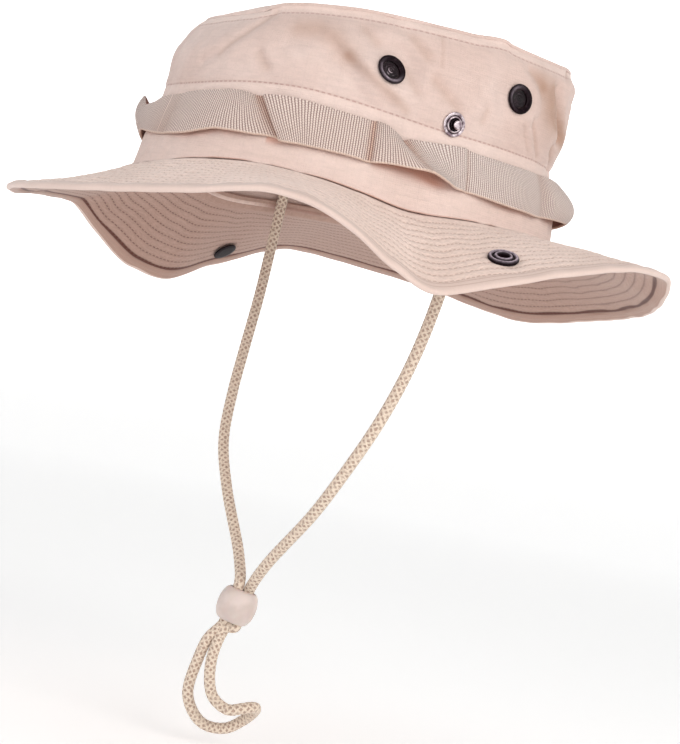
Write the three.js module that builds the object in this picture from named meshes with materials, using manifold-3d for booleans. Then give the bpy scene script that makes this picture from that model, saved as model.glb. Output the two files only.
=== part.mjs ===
// Bush hat: a soft crown with a pinched waist, a stitched brim, a webbing loop band,
// four vents, two side snaps, and a chin cord with a sliding bead.
// Millimetres. +Z is up through the crown, the front of the hat faces -Y and the
// wearer's left is +X. The origin is the middle of the head opening, level with the
// seam that joins crown and brim.
import * as THREE from 'three';
import Module from 'manifold-3d';
import { mergeVertices } from 'three/addons/utils/BufferGeometryUtils.js';

const wasm = await Module();
wasm.setup();

// ---- driving dimensions ------------------------------------------------------

const CROWN_LENGTH = 207;        // outside of the crown at its seam, front to back
const CROWN_WIDTH = 170;         // the same, side to side
const CROWN_WALL = 1.6;          // two layers of ripstop cloth
const TIP_THICKNESS = 1.6;       // the oval panel on top
const TIP_DOME = 2.5;            // how far the middle of the tip rises
const BRIM_THICKNESS = 2;
const HEM_THICKNESS = 2.6;       // the turned edge
const HEM_WIDTH = 6;
const BRIM_LIP = 2.2;            // seam allowance that carries the crown wall
const BAND_THICKNESS = 1.2;      // webbing
const GAP = 0.3;                 // between pieces that touch

const VENT_RADIUS = 6.5;
const VENT_HOLE = 4.1;
const VENT_BARREL = 4.6;         // outside of the tube that goes through the cloth
const STUD_RADIUS = 5.4;
const STUD_BARREL = 2.2;
const SOCKET_RADIUS = 6.8;
const SOCKET_BARREL = 2.6;
const SCREEN_THICKNESS = 0.6;
const CORD_DIAMETER = 5.2;
const BEAD_DIAMETER = 18.6;
const BEAD_LENGTH = 15.6;
const BEAD_CLEARANCE = 0.5;      // round each strand, so that the bead slides

const AROUND = 60;               // stations round the crown and the brim
const BAND_STATIONS = 96;

const HALF_LENGTH = CROWN_LENGTH / 2;
const HALF_WIDTH = CROWN_WIDTH / 2;

// ---- tables ------------------------------------------------------------------
// "at" is the angle round the hat in degrees: 0 front, 90 wearer's left, 180 back.

// The seam between crown and brim rises and dips round the head.
const SEAM_ROWS = [
  { at: 0, z: -4 },
  { at: 25, z: 0 },
  { at: 40, z: 1.4 },
  { at: 55, z: 0 },
  { at: 66, z: -2.6 },
  { at: 80, z: -6.2 },
  { at: 99, z: -3.7 },
  { at: 135, z: -1.9 },
  { at: 180, z: -1 },
  { at: 225, z: -2 },
  { at: 262, z: -4 },
  { at: 280, z: -6 },
  { at: 300, z: -2 },
  { at: 322, z: -1 },
  { at: 346, z: -4.9 },
];

// How the crown leans in from the seam's oval: band, waist, belly, shoulder and top are
// how far the wall stands inside the oval at each level, and waist_z and top_z are heights.
const CROWN_ROWS = [
  { at: 0, band: 3.5, waist: 8, waist_z: 33, belly: 8.5, shoulder: 12, top: 22, top_z: 66 },
  { at: 45, band: 3, waist: 6.5, waist_z: 37, belly: 6, shoulder: 10, top: 20, top_z: 73 },
  { at: 90, band: 2, waist: 6, waist_z: 31.8, belly: 4, shoulder: 6.5, top: 13, top_z: 76.8 },
  { at: 135, band: 1.5, waist: 6.5, waist_z: 32, belly: 2.6, shoulder: 2.6, top: 9, top_z: 77.5 },
  { at: 180, band: 1.5, waist: 7, waist_z: 33, belly: 2.8, shoulder: 2.8, top: 9.5, top_z: 79.5 },
  { at: 225, band: 1.5, waist: 6.5, waist_z: 32.5, belly: 3.2, shoulder: 3.6, top: 10, top_z: 78.5 },
  { at: 270, band: 2, waist: 6, waist_z: 32, belly: 4.5, shoulder: 7.5, top: 14, top_z: 75 },
  { at: 315, band: 3, waist: 7.5, waist_z: 34, belly: 8, shoulder: 12, top: 22, top_z: 68 },
];
const BAND_LEVEL = 0.48;         // between the seam and the waist
const BELLY_RISE = 15;           // above the waist
const SHOULDER_DROP = 11;        // below the top edge

// The brim: its width along the cloth, the height of its edge, and how it bows on
// the way out (0 straight, above 0 falling first, below 0 drooping at the end).
const BRIM_ROWS = [
  { at: 0, width: 56.5, edge_z: -24.6, bow: 0.25 },
  { at: 20, width: 57.5, edge_z: -22.4, bow: 0.1 },
  { at: 35, width: 58.5, edge_z: -18.2, bow: 0 },
  { at: 49, width: 59, edge_z: -12.3, bow: -0.1 },
  { at: 55, width: 59, edge_z: -14.3, bow: -0.1 },
  { at: 62, width: 59, edge_z: -21.2, bow: -0.1 },
  { at: 70, width: 59, edge_z: -32.6, bow: -0.1 },
  { at: 78, width: 59, edge_z: -38.6, bow: 0 },
  { at: 88, width: 59, edge_z: -31, bow: 0 },
  { at: 99, width: 59, edge_z: -21.2, bow: 0 },
  { at: 122, width: 59, edge_z: -9, bow: -0.2 },
  { at: 135, width: 59, edge_z: -8, bow: -0.4 },
  { at: 150, width: 59, edge_z: -18.5, bow: -0.5 },
  { at: 179, width: 59, edge_z: -27.5, bow: -0.3 },
  { at: 197, width: 59, edge_z: -33, bow: -0.2 },
  { at: 225, width: 59, edge_z: -22, bow: -0.2 },
  { at: 248, width: 59, edge_z: -17, bow: -0.2 },
  { at: 266, width: 59, edge_z: -34, bow: -0.2 },
  { at: 281, width: 59, edge_z: -47.5, bow: -0.1 },
  { at: 289, width: 59, edge_z: -45, bow: -0.1 },
  { at: 297, width: 59, edge_z: -31, bow: -0.1 },
  { at: 304, width: 58.5, edge_z: -19, bow: 0 },
  { at: 316, width: 57.5, edge_z: -20.4, bow: 0.2 },
  { at: 335, width: 56.5, edge_z: -24.4, bow: 0.35 },
];

// The loop band: how far its lower and upper edges stand off the crown, how much its
// middle bows out beyond them, and the heights of the two edges. The rows at 0.3 are
// the tacks that sew it down.
const BAND_ROWS = [
  { at: 4, low: 0.3, high: 0.3, cup: 0, z_low: 9.3, z_high: 26.6 },
  { at: 8, low: 1.6, high: 0.7, cup: 0.2, z_low: 9.6, z_high: 28 },
  { at: 16, low: 3.4, high: 1.2, cup: 0.4, z_low: 11, z_high: 29.3 },
  { at: 26, low: 4.4, high: 1.4, cup: 0.5, z_low: 14, z_high: 30.7 },
  { at: 34, low: 2.4, high: 0.8, cup: 0.2, z_low: 13.4, z_high: 30.6 },
  { at: 39.5, low: 0.5, high: 0.4, cup: 0, z_low: 13.2, z_high: 29.7 },
  { at: 42.5, low: 2.2, high: 1.9, cup: 0, z_low: 12.5, z_high: 30.4 },
  { at: 50, low: 1.5, high: 1, cup: 0.3, z_low: 12.4, z_high: 31 },
  { at: 60, low: 1.4, high: 0.8, cup: 0.3, z_low: 12, z_high: 29.2 },
  { at: 66.5, low: 0.3, high: 0.3, cup: 0, z_low: 11, z_high: 28.3 },
  { at: 70, low: 3.2, high: 2.6, cup: 0.4, z_low: 11.8, z_high: 27.8 },
  { at: 74.5, low: 6, high: 4.4, cup: 0.8, z_low: 12, z_high: 24 },
  { at: 77.5, low: 6.8, high: 3.2, cup: 0.6, z_low: 12.4, z_high: 22.6 },
  { at: 80.5, low: 6.2, high: 0.8, cup: -0.8, z_low: 12.3, z_high: 23.8 },
  { at: 85, low: 4.6, high: 0.5, cup: 0, z_low: 10.9, z_high: 24.5 },
  { at: 90, low: 2.2, high: 0.5, cup: 0.3, z_low: 9.1, z_high: 25.9 },
  { at: 93.5, low: 0.3, high: 0.3, cup: 0, z_low: 8.3, z_high: 26.2 },
  { at: 97, low: 1.4, high: 0.8, cup: 0.2, z_low: 8.2, z_high: 25 },
  { at: 110, low: 2.6, high: 1.4, cup: 0.4, z_low: 7, z_high: 24.8 },
  { at: 122, low: 1.2, high: 0.8, cup: 0.2, z_low: 7, z_high: 25.2 },
  { at: 125.5, low: 0.3, high: 0.3, cup: 0, z_low: 7.4, z_high: 25.5 },
  { at: 131, low: 3, high: 2, cup: 1.5, z_low: 8.3, z_high: 25.7 },
  { at: 142, low: 6.4, high: 2.6, cup: 3.4, z_low: 9.4, z_high: 25.6 },
  { at: 153, low: 7.4, high: 2.6, cup: 4.4, z_low: 10, z_high: 25.2 },
  { at: 164, low: 5, high: 2.4, cup: 2.6, z_low: 8.4, z_high: 24.8 },
  { at: 173, low: 1.4, high: 1, cup: 0.6, z_low: 7.2, z_high: 25 },
  { at: 177, low: 0.3, high: 0.3, cup: 0, z_low: 7, z_high: 25 },
  { at: 192, low: 2.4, high: 1.4, cup: 0.6, z_low: 7.8, z_high: 25.4 },
  { at: 207, low: 0.3, high: 0.3, cup: 0, z_low: 7.6, z_high: 25.4 },
  { at: 221, low: 2.8, high: 1.6, cup: 0.6, z_low: 8.4, z_high: 26.2 },
  { at: 235, low: 0.3, high: 0.3, cup: 0, z_low: 7.6, z_high: 25.4 },
  { at: 249, low: 3, high: 1.8, cup: 0.6, z_low: 8.4, z_high: 26 },
  { at: 263, low: 0.3, high: 0.3, cup: 0, z_low: 7.8, z_high: 25.6 },
  { at: 275, low: 3, high: 1.6, cup: 0.5, z_low: 8.6, z_high: 26.4 },
  { at: 288, low: 0.3, high: 0.3, cup: 0, z_low: 9, z_high: 26.6 },
  { at: 299, low: 2.6, high: 1.4, cup: 0.5, z_low: 9, z_high: 27 },
  { at: 310, low: 0.3, high: 0.3, cup: 0, z_low: 6.4, z_high: 24.6 },
  { at: 316, low: 4, high: 3, cup: 0.6, z_low: 7.4, z_high: 25 },
  { at: 325, low: 5.6, high: 7, cup: 1.6, z_low: 10.5, z_high: 26.6 },
  { at: 333, low: 4.6, high: 8.2, cup: 2.2, z_low: 13, z_high: 27.4 },
  { at: 342, low: 3, high: 4.6, cup: 1.4, z_low: 12, z_high: 26.2 },
  { at: 352, low: 1.6, high: 1.4, cup: 0.4, z_low: 10.2, z_high: 25.2 },
];

// Soft folds in the crown wall: a dent of the given depth and half width along the
// line between two places on the wall.
const FOLD_ROWS = [
  { name: 'front diagonal', at: 23, z: 65, to_at: 10, to_z: 46, half_width: 5, depth: 2.4 },
  { name: 'vent diagonal', at: 50, z: 66, to_at: 73, to_z: 40, half_width: 8, depth: 2 },
  { name: 'over vent', at: 69, z: 73, to_at: 78, to_z: 60, half_width: 6, depth: 1.2 },
  { name: 'back dent', at: 131, z: 66, to_at: 141, to_z: 48, half_width: 9, depth: 2.4 },
  { name: 'right front diagonal', at: 318, z: 62, to_at: 300, to_z: 44, half_width: 7, depth: 2 },
  { name: 'right back dent', at: 238, z: 66, to_at: 228, to_z: 46, half_width: 9, depth: 2 },
];
const MM_PER_DEGREE = 1.6;       // along the wall, for measuring distance to a fold

// Fittings repeat on both sides, at these angles from the front.
const SIDES = [{ side: 'left', sign: 1 }, { side: 'right', sign: -1 }];
const VENTS = [{ name: 'front', at: 69, z: 51.7 }, { name: 'back', at: 108, z: 54.8 }];
const STUD = { at: 88.8, z: 35.8 };
const SOCKET = { at: 92.6, out: 38.2 };

// Chin cord: the route of its middle line from the left side of the crown, through
// the bead, round the hanging loop, back through the bead and up to the right side.
const CORD_ROUTE = [
  [76.9, 11, 15], [78.6, 10.8, -4], [78.8, 9.7, -27], [76.7, 7.2, -50], [73.3, 3, -74],
  [67, -2.6, -98.5], [56.6, -8.2, -122.5], [41.2, -10.3, -143.5], [13, -12.7, -172.5],
];
const LOOP_ROUTE = [
  [-1.6, -18.2, -204.6], [-1.9, -22.9, -220.4], [2.9, -21.8, -236.2],
  [9.6, -16.2, -241], [12.9, -11, -239.4], [12.6, -5.4, -238.4], [8.4, -0.6, -239.9],
  [-1.7, 1, -246.9], [-6.4, -6, -253], [-9.1, -17.6, -251.8], [-10.8, -26.6, -240],
  [-8.2, -26.3, -221.4], [-6.2, -24.4, -211.7],
];
const BEAD_CENTRE = new THREE.Vector3(-0.5, -15.9, -194.3);
const BEAD_AXIS = new THREE.Vector3(0.101, 0.162, 0.982).normalize();
const STRAND_SPACING = 5.5;      // between the two middle lines inside the bead
const STRAND_HEIGHTS = [10, 4, -4, -10];  // keep the strands straight through the bead
const STRAND_SIDE = new THREE.Vector3(0.52, 0.832, -0.19).normalize();

// ---- interpolation -----------------------------------------------------------

// Slopes of a curve through (xs, ys) that never overshoots its points.
function gentleSlopes(xs, ys) {
  const steps = xs.slice(1).map((x, i) => (ys[i + 1] - ys[i]) / (x - xs[i]));
  const inner = steps.slice(1).map((step, i) => {
    const before = steps[i];
    if (before * step <= 0) return 0;
    const w1 = 2 * (xs[i + 2] - xs[i + 1]) + (xs[i + 1] - xs[i]);
    const w2 = (xs[i + 2] - xs[i + 1]) + 2 * (xs[i + 1] - xs[i]);
    return (w1 + w2) / (w1 / before + w2 / step);
  });
  return [steps[0], ...inner, steps[steps.length - 1]];
}

function hermite(xs, ys, slopes, x) {
  let i = 0;
  while (i < xs.length - 2 && x > xs[i + 1]) i += 1;
  const h = xs[i + 1] - xs[i];
  const t = Math.min(1, Math.max(0, (x - xs[i]) / h));
  const a = (1 + 2 * t) * (1 - t) ** 2 * ys[i] + t * (1 - t) ** 2 * h * slopes[i];
  const b = t * t * (3 - 2 * t) * ys[i + 1] + t * t * (t - 1) * h * slopes[i + 1];
  return a + b;
}

// A column of a table as a smooth function of the angle round the hat.
function roundTheHat(rows, column) {
  const wrapped = [-2, -1, ...rows.keys(), rows.length, rows.length + 1];
  const xs = wrapped.map((i) => {
    const turns = Math.floor(i / rows.length);
    return rows[i - turns * rows.length].at + 360 * turns;
  });
  const ys = wrapped.map((i) => rows[(i + rows.length) % rows.length][column]);
  const slopes = gentleSlopes(xs, ys);
  const first = rows[0].at;
  return (degrees) => hermite(xs, ys, slopes, first + ((degrees - first) % 360 + 360) % 360);
}

function everyColumn(rows) {
  const columns = Object.keys(rows[0]).filter((column) => column !== 'at');
  return Object.fromEntries(columns.map((column) => [column, roundTheHat(rows, column)]));
}

const seam = everyColumn(SEAM_ROWS);
const crown = everyColumn(CROWN_ROWS);
const brimCloth = everyColumn(BRIM_ROWS);
const band = everyColumn(BAND_ROWS);

// ---- surfaces ----------------------------------------------------------------

const radians = THREE.MathUtils.degToRad;

// A point that stands "out" beyond the seam's oval at angle "at" and height z.
function place(at, out, z) {
  const sin = Math.sin(radians(at));
  const cos = Math.cos(radians(at));
  const outward = new THREE.Vector2(sin / HALF_WIDTH, -cos / HALF_LENGTH).normalize();
  return new THREE.Vector3(
    HALF_WIDTH * sin + outward.x * out,
    -HALF_LENGTH * cos + outward.y * out,
    z,
  );
}

// The eyelets hold the cloth flat round them, so the folds die out there.
function flattened(at, z) {
  return VENTS.reduce((share, vent) => {
    const distance = Math.hypot((Math.abs(at) - vent.at) * MM_PER_DEGREE, z - vent.z);
    return share * THREE.MathUtils.smoothstep(distance, VENT_RADIUS, VENT_RADIUS + 9);
  }, 1);
}

function foldDepth(at, z) {
  const depth = FOLD_ROWS.reduce((sum, fold) => {
    const turn = ((at - fold.at + 540) % 360) - 180;
    const p = new THREE.Vector2(turn * MM_PER_DEGREE, z - fold.z);
    const line = new THREE.Vector2((fold.to_at - fold.at) * MM_PER_DEGREE, fold.to_z - fold.z);
    const along = THREE.MathUtils.clamp(p.dot(line) / line.lengthSq(), 0, 1);
    const distance = p.sub(line.multiplyScalar(along)).length();
    return sum + fold.depth * Math.exp(-((distance / fold.half_width) ** 2));
  }, 0);
  const turned = ((at + 540) % 360) - 180;
  return depth * flattened(turned, z);
}

// How far the outside of the crown stands from the seam's oval at a height.
function crownOut(at, z) {
  const low = seam.z(at);
  const waist = crown.waist_z(at);
  const top = crown.top_z(at);
  const bandZ = low + BAND_LEVEL * (waist - low);
  const heights = [low, bandZ, waist, waist + BELLY_RISE, top - SHOULDER_DROP, top];
  const outs = [0, crown.band(at), crown.waist(at), crown.belly(at),
    crown.shoulder(at), crown.top(at)].map((inward) => -inward);
  const fade = THREE.MathUtils.smoothstep(z, bandZ, waist);
  return hermite(heights, outs, gentleSlopes(heights, outs), z) - fade * foldDepth(at, z);
}

// The place and outward direction of a fitting on the crown.
function crownSpot(at, z) {
  const step = 3;
  const point = place(at, crownOut(at, z), z);
  const round = place(at + step, crownOut(at + step, z), z)
    .sub(place(at - step, crownOut(at - step, z), z));
  const up = place(at, crownOut(at, z + step), z + step)
    .sub(place(at, crownOut(at, z - step), z - step));
  return { point, outward: round.cross(up).normalize() };
}

// The brim's upper face from the seam (t = 0) to the edge (t = 1).
function brimLine(at, count) {
  const start = seam.z(at);
  const drop = brimCloth.edge_z(at) - start;
  const bow = brimCloth.bow(at);
  const fine = 40;
  const line = [new THREE.Vector2(0, start)];
  let out = 0;
  for (let i = 1; i <= fine; i += 1) {
    const t = (i - 0.5) / fine;
    const fall = drop * (1 + bow * (1 - 2 * t));
    out += Math.sqrt(brimCloth.width(at) ** 2 - fall ** 2) / fine;
    const end = i / fine;
    line.push(new THREE.Vector2(out, start + drop * (end + bow * end * (1 - end))));
  }
  return Array.from({ length: count + 1 }, (_, i) => {
    const exact = (i / count) * fine;
    const low = Math.min(fine - 1, Math.floor(exact));
    return line[low].clone().lerp(line[low + 1], exact - low);
  });
}

// ---- meshes ------------------------------------------------------------------

// A closed ring: the closed section of each station joined to the next station's.
function ring(stations) {
  const count = stations.length;
  const size = stations[0].length;
  const positions = stations.flatMap((section) => section.flatMap((p) => p.toArray()));
  const index = [];
  for (let i = 0; i < count; i += 1) {
    for (let j = 0; j < size; j += 1) {
      const a = i * size + j;
      const b = i * size + ((j + 1) % size);
      const c = ((i + 1) % count) * size + ((j + 1) % size);
      const d = ((i + 1) % count) * size + j;
      index.push(a, c, b, a, d, c);
    }
  }
  return indexed(positions, index);
}

function indexed(positions, index) {
  const geometry = new THREE.BufferGeometry();
  geometry.setAttribute('position', new THREE.Float32BufferAttribute(positions, 3));
  geometry.setIndex(index);
  geometry.computeVertexNormals();
  return geometry;
}

function solid(geometry) {
  const bare = geometry.clone();
  bare.deleteAttribute('normal');
  bare.deleteAttribute('uv');
  const merged = mergeVertices(bare, 1e-4);
  return new wasm.Manifold(new wasm.Mesh({
    numProp: 3,
    vertProperties: new Float32Array(merged.attributes.position.array),
    triVerts: new Uint32Array(merged.index.array),
  }));
}

function geometryOf(body) {
  const mesh = body.getMesh();
  return indexed(Array.from(mesh.vertProperties), Array.from(mesh.triVerts));
}

// A round plug standing on a spot, for cutting the hole that a fitting goes through.
function plug(spot, radius) {
  const geometry = new THREE.CylinderGeometry(radius, radius, 16, 14);
  geometry.applyQuaternion(standing(spot.outward));
  geometry.translate(...spot.point.toArray());
  return solid(geometry);
}

function standing(outward) {
  return new THREE.Quaternion().setFromUnitVectors(new THREE.Vector3(0, 1, 0), outward);
}

// The way out of a section line, at right angles to it.
function away(line, i) {
  const before = line[Math.max(0, i - 1)];
  const after = line[Math.min(line.length - 1, i + 1)];
  const run = after.clone().sub(before).normalize();
  return new THREE.Vector2(run.y, -run.x);
}

const angles = (count) => Array.from({ length: count }, (_, i) => (360 * i) / count);

function crownSide() {
  const upTheOutside = 10;
  const stations = angles(AROUND).map((at) => {
    const bottom = seam.z(at) + GAP;
    const top = crown.top_z(at);
    const line = Array.from({ length: upTheOutside + 1 }, (_, i) => {
      const z = bottom + ((top - bottom) * i) / upTheOutside;
      return new THREE.Vector2(crownOut(at, z), z);
    });
    const inside = line.map((p, i) => p.clone().addScaledVector(away(line, i), -CROWN_WALL));
    inside[0].y = bottom;
    inside[inside.length - 1].y = top;
    return [...line, ...inside.reverse()].map((p) => place(at, p.x, p.y));
  });
  const holes = [
    ...ventSpots().map((spot) => plug(spot, VENT_BARREL + GAP)),
    ...studSpots().map((spot) => plug(spot, STUD_BARREL + GAP)),
  ];
  const wall = holes.reduce((body, hole) => body.subtract(hole), solid(ring(stations)));
  return geometryOf(wall);
}

function crownTip() {
  const rings = 4;
  const edge = angles(AROUND).map((at) => place(at, -crown.top(at), crown.top_z(at) + GAP));
  const front = edge[0];
  const back = edge[AROUND / 2];
  const slope = (back.z - front.z) / (back.y - front.y);
  const middle = new THREE.Vector3(0, (front.y + back.y) / 2, (front.z + back.z) / 2);
  const level = (p) => middle.z + slope * (p.y - middle.y);
  const sheet = (height, part) => edge.map((rim) => {
    const p = middle.clone().lerp(rim, part);
    const warp = (rim.z - level(rim)) * part ** 2;
    return new THREE.Vector3(p.x, p.y, level(p) + warp + TIP_DOME * (1 - part ** 2) + height);
  });
  const sheets = [];
  for (let i = 1; i <= rings; i += 1) sheets.push(sheet(TIP_THICKNESS, i / rings));
  sheets.push(sheet(0, 1));
  sheets.push(sheet(0, 0.6));
  const positions = sheets.flat().flatMap((p) => p.toArray());
  const index = [];
  for (let k = 0; k < sheets.length - 1; k += 1) {
    for (let i = 0; i < AROUND; i += 1) {
      const a = k * AROUND + i;
      const b = k * AROUND + ((i + 1) % AROUND);
      index.push(a, a + AROUND, b + AROUND, a, b + AROUND, b);
    }
  }
  const topPole = positions.length / 3;
  const bottomPole = topPole + 1;
  const last = (sheets.length - 1) * AROUND;
  positions.push(middle.x, middle.y, middle.z + TIP_DOME + TIP_THICKNESS);
  positions.push(middle.x, middle.y, middle.z + TIP_DOME);
  for (let i = 0; i < AROUND; i += 1) {
    index.push(topPole, i, (i + 1) % AROUND);
    index.push(bottomPole, last + ((i + 1) % AROUND), last + i);
  }
  return indexed(positions, index);
}

function brim() {
  const steps = 8;
  const stations = angles(AROUND).map((at) => {
    const line = brimLine(at, steps);
    const width = line[steps].x;
    const thickness = (p) => (width - p.x < HEM_WIDTH ? HEM_THICKNESS : BRIM_THICKNESS);
    const under = line.map((p, i) => p.clone().addScaledVector(away(line, i), thickness(p)));
    const nose = line[steps].clone().lerp(under[steps], 0.5);
    nose.addScaledVector(line[steps].clone().sub(line[steps - 1]).normalize(), HEM_THICKNESS / 3);
    const lift = line[0].y;
    under[0].set(0, lift - BRIM_THICKNESS);
    const kept = under.filter((_, i) => i % 2 === 0 || i === steps).reverse();
    const lip = [new THREE.Vector2(-BRIM_LIP, lift - BRIM_THICKNESS), new THREE.Vector2(-BRIM_LIP, lift)];
    return [...line, nose, ...kept, ...lip].reverse().map((p) => place(at, p.x, p.y));
  });
  const holes = socketSpots().map((spot) => plug(spot, SOCKET_BARREL + GAP));
  return geometryOf(holes.reduce((body, hole) => body.subtract(hole), solid(ring(stations))));
}

function loopBand() {
  const across = [0, 0.5, 1];
  const stations = angles(BAND_STATIONS).map((at) => {
    const low = band.z_low(at);
    const high = band.z_high(at);
    const line = across.map((v) => {
      const z = low + (high - low) * v;
      const stand = band.low(at) * (1 - v) + band.high(at) * v + band.cup(at) * 4 * v * (1 - v);
      return new THREE.Vector2(crownOut(at, z) + stand, z);
    });
    const face = line.map((p, i) => p.clone().addScaledVector(away(line, i), BAND_THICKNESS));
    return [...face, ...line.reverse()].map((p) => place(at, p.x, p.y));
  });
  return ring(stations);
}

// ---- fittings ----------------------------------------------------------------

function ventSpots() {
  return SIDES.flatMap(({ sign }) => VENTS.map(({ at, z }) => crownSpot(sign * at, z)));
}

function studSpots() {
  return SIDES.map(({ sign }) => crownSpot(sign * STUD.at, STUD.z));
}

function socketSpots() {
  return SIDES.map(({ sign }) => {
    const spot = (at, out) => {
      const line = brimLine(at, 40);
      const i = line.findIndex((p) => p.x >= out);
      const t = (out - line[i - 1].x) / (line[i].x - line[i - 1].x);
      const p = line[i - 1].clone().lerp(line[i], t);
      return place(at, p.x, p.y);
    };
    const at = sign * SOCKET.at;
    const round = spot(at + 3, SOCKET.out).sub(spot(at - 3, SOCKET.out));
    const outwards = spot(at, SOCKET.out + 4).sub(spot(at, SOCKET.out - 4));
    const up = outwards.cross(round).normalize();
    return { point: spot(at, SOCKET.out), outward: up };
  });
}

// Turned pieces are given as [radius, height] pairs, where height 0 is the outer
// face of the cloth.
function turned(profile, segments) {
  const points = profile.map(([radius, height]) => new THREE.Vector2(radius, height));
  return new THREE.LatheGeometry(points, segments);
}

const CUP_SLACK = 1.3;           // room for the curve of the wall under a flat flange
const FLANGE = 0.6;              // thickness of the flange inside the crown
const UNDER_WALL = -(CROWN_WALL + CUP_SLACK);
const UNDER_BRIM = -(BRIM_THICKNESS + 1.1);
const VENT_PROFILE = [
  [VENT_HOLE, UNDER_WALL - FLANGE],
  [VENT_RADIUS - 0.8, UNDER_WALL - FLANGE],
  [VENT_RADIUS - 0.8, UNDER_WALL],
  [VENT_BARREL, UNDER_WALL],
  [VENT_BARREL, 0.5],
  [VENT_RADIUS, 0.5],
  [VENT_RADIUS - 0.3, 1.3],
  [VENT_RADIUS - 1.2, 1.6],
  [VENT_HOLE, 0.8],
  [VENT_HOLE, UNDER_WALL - FLANGE],
];
const STUD_PROFILE = [
  [0, UNDER_WALL - FLANGE],
  [STUD_RADIUS - 0.8, UNDER_WALL - FLANGE],
  [STUD_RADIUS - 0.8, UNDER_WALL],
  [STUD_BARREL, UNDER_WALL],
  [STUD_BARREL, 0.8],
  [STUD_RADIUS, 0.8],
  [STUD_RADIUS - 0.4, 1.5],
  [STUD_RADIUS - 1.6, 1.3],
  [2.3, 1.1],
  [1.7, 2.4],
  [2, 3.2],
  [1.5, 3.8],
  [0, 3.9],
];
const SOCKET_PROFILE = [
  [0, UNDER_BRIM - 0.9],
  [SOCKET_RADIUS - 0.6, UNDER_BRIM - 0.7],
  [SOCKET_RADIUS - 0.6, UNDER_BRIM],
  [SOCKET_BARREL, UNDER_BRIM],
  [SOCKET_BARREL, 0.5],
  [SOCKET_RADIUS, 0.5],
  [SOCKET_RADIUS - 0.1, 1.2],
  [SOCKET_RADIUS - 0.9, 1.8],
  [4.2, 1.3],
  [3.2, 2],
  [2.2, 2],
  [2.2, 0.3],
  [0, 0.3],
];

function beadStrand(sign, height) {
  return BEAD_CENTRE.clone()
    .addScaledVector(BEAD_AXIS, height)
    .addScaledVector(STRAND_SIDE, (sign * STRAND_SPACING) / 2);
}

function chinCord() {
  const vector = ([x, y, z]) => new THREE.Vector3(x, y, z);
  const mirrored = ([x, y, z]) => new THREE.Vector3(-x, y, z);
  const points = [
    ...CORD_ROUTE.map(vector),
    ...STRAND_HEIGHTS.map((height) => beadStrand(1, height)),
    ...LOOP_ROUTE.map(vector),
    ...STRAND_HEIGHTS.map((height) => beadStrand(-1, height)).reverse(),
    ...CORD_ROUTE.map(mirrored).reverse(),
  ];
  const curve = new THREE.CatmullRomCurve3(points, false, 'centripetal');
  const section = new THREE.Shape();
  const sides = 8;
  for (let i = 0; i < sides; i += 1) {
    const angle = (2 * Math.PI * i) / sides;
    const x = (CORD_DIAMETER / 2) * Math.cos(angle);
    const y = (CORD_DIAMETER / 2) * Math.sin(angle);
    if (i === 0) section.moveTo(x, y);
    else section.lineTo(x, y);
  }
  section.closePath();
  return new THREE.ExtrudeGeometry(section, { steps: 68, extrudePath: curve, curveSegments: 1 });
}

// A barrel bead with one slot that takes both strands side by side.
function cordSlider() {
  const half = BEAD_LENGTH / 2;
  const radius = BEAD_DIAMETER / 2;
  const flat = radius * 0.62;
  const profile = [[0, -half], [flat, -half]];
  const arcSteps = 8;
  for (let i = 1; i < arcSteps; i += 1) {
    const angle = Math.PI * (i / arcSteps - 0.5);
    profile.push([flat + (radius - flat) * Math.cos(angle), half * Math.sin(angle)]);
  }
  profile.push([flat, half], [0, half]);
  const slotRadius = CORD_DIAMETER / 2 + BEAD_CLEARANCE;
  const slot = new THREE.Shape();
  slot.absarc(STRAND_SPACING / 2, 0, slotRadius, -Math.PI / 2, Math.PI / 2, false);
  slot.absarc(-STRAND_SPACING / 2, 0, slotRadius, Math.PI / 2, (3 * Math.PI) / 2, false);
  slot.closePath();
  const cutter = new THREE.ExtrudeGeometry(slot, {
    depth: 2 * BEAD_LENGTH,
    bevelEnabled: false,
    curveSegments: 6,
  });
  cutter.translate(0, 0, -BEAD_LENGTH);
  cutter.rotateX(-Math.PI / 2);
  return geometryOf(solid(turned(profile, 24)).subtract(solid(cutter)));
}

// ---- the hat -----------------------------------------------------------------

const CLOTH = { color: 0xe3cbb9, roughness: 0.9, metalness: 0 };
const WEBBING = { color: 0xc9b8a8, roughness: 0.8, metalness: 0 };
const BLACK_PAINT = { color: 0x1d1a1c, roughness: 0.35, metalness: 0.5 };
const MESH_SCREEN = { color: 0x2c2629, roughness: 0.6, metalness: 0.5 };
const NICKEL = { color: 0x9d97a0, roughness: 0.25, metalness: 0.9 };
const CORD = { color: 0xd9c39f, roughness: 0.9, metalness: 0 };
const BEAD = { color: 0xd8c8c0, roughness: 0.45, metalness: 0 };

const hat = new THREE.Group();

function add(name, geometry, finish) {
  const mesh = new THREE.Mesh(geometry, new THREE.MeshStandardMaterial(finish));
  mesh.name = name;
  hat.add(mesh);
  return mesh;
}

function addFitting(name, geometry, finish, spot) {
  const mesh = add(name, geometry, finish);
  mesh.position.copy(spot.point);
  mesh.quaternion.copy(standing(spot.outward));
}

add('crown_side', crownSide(), CLOTH);
add('crown_tip', crownTip(), CLOTH);
add('brim', brim(), CLOTH);
add('loop_band', loopBand(), WEBBING);

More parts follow.
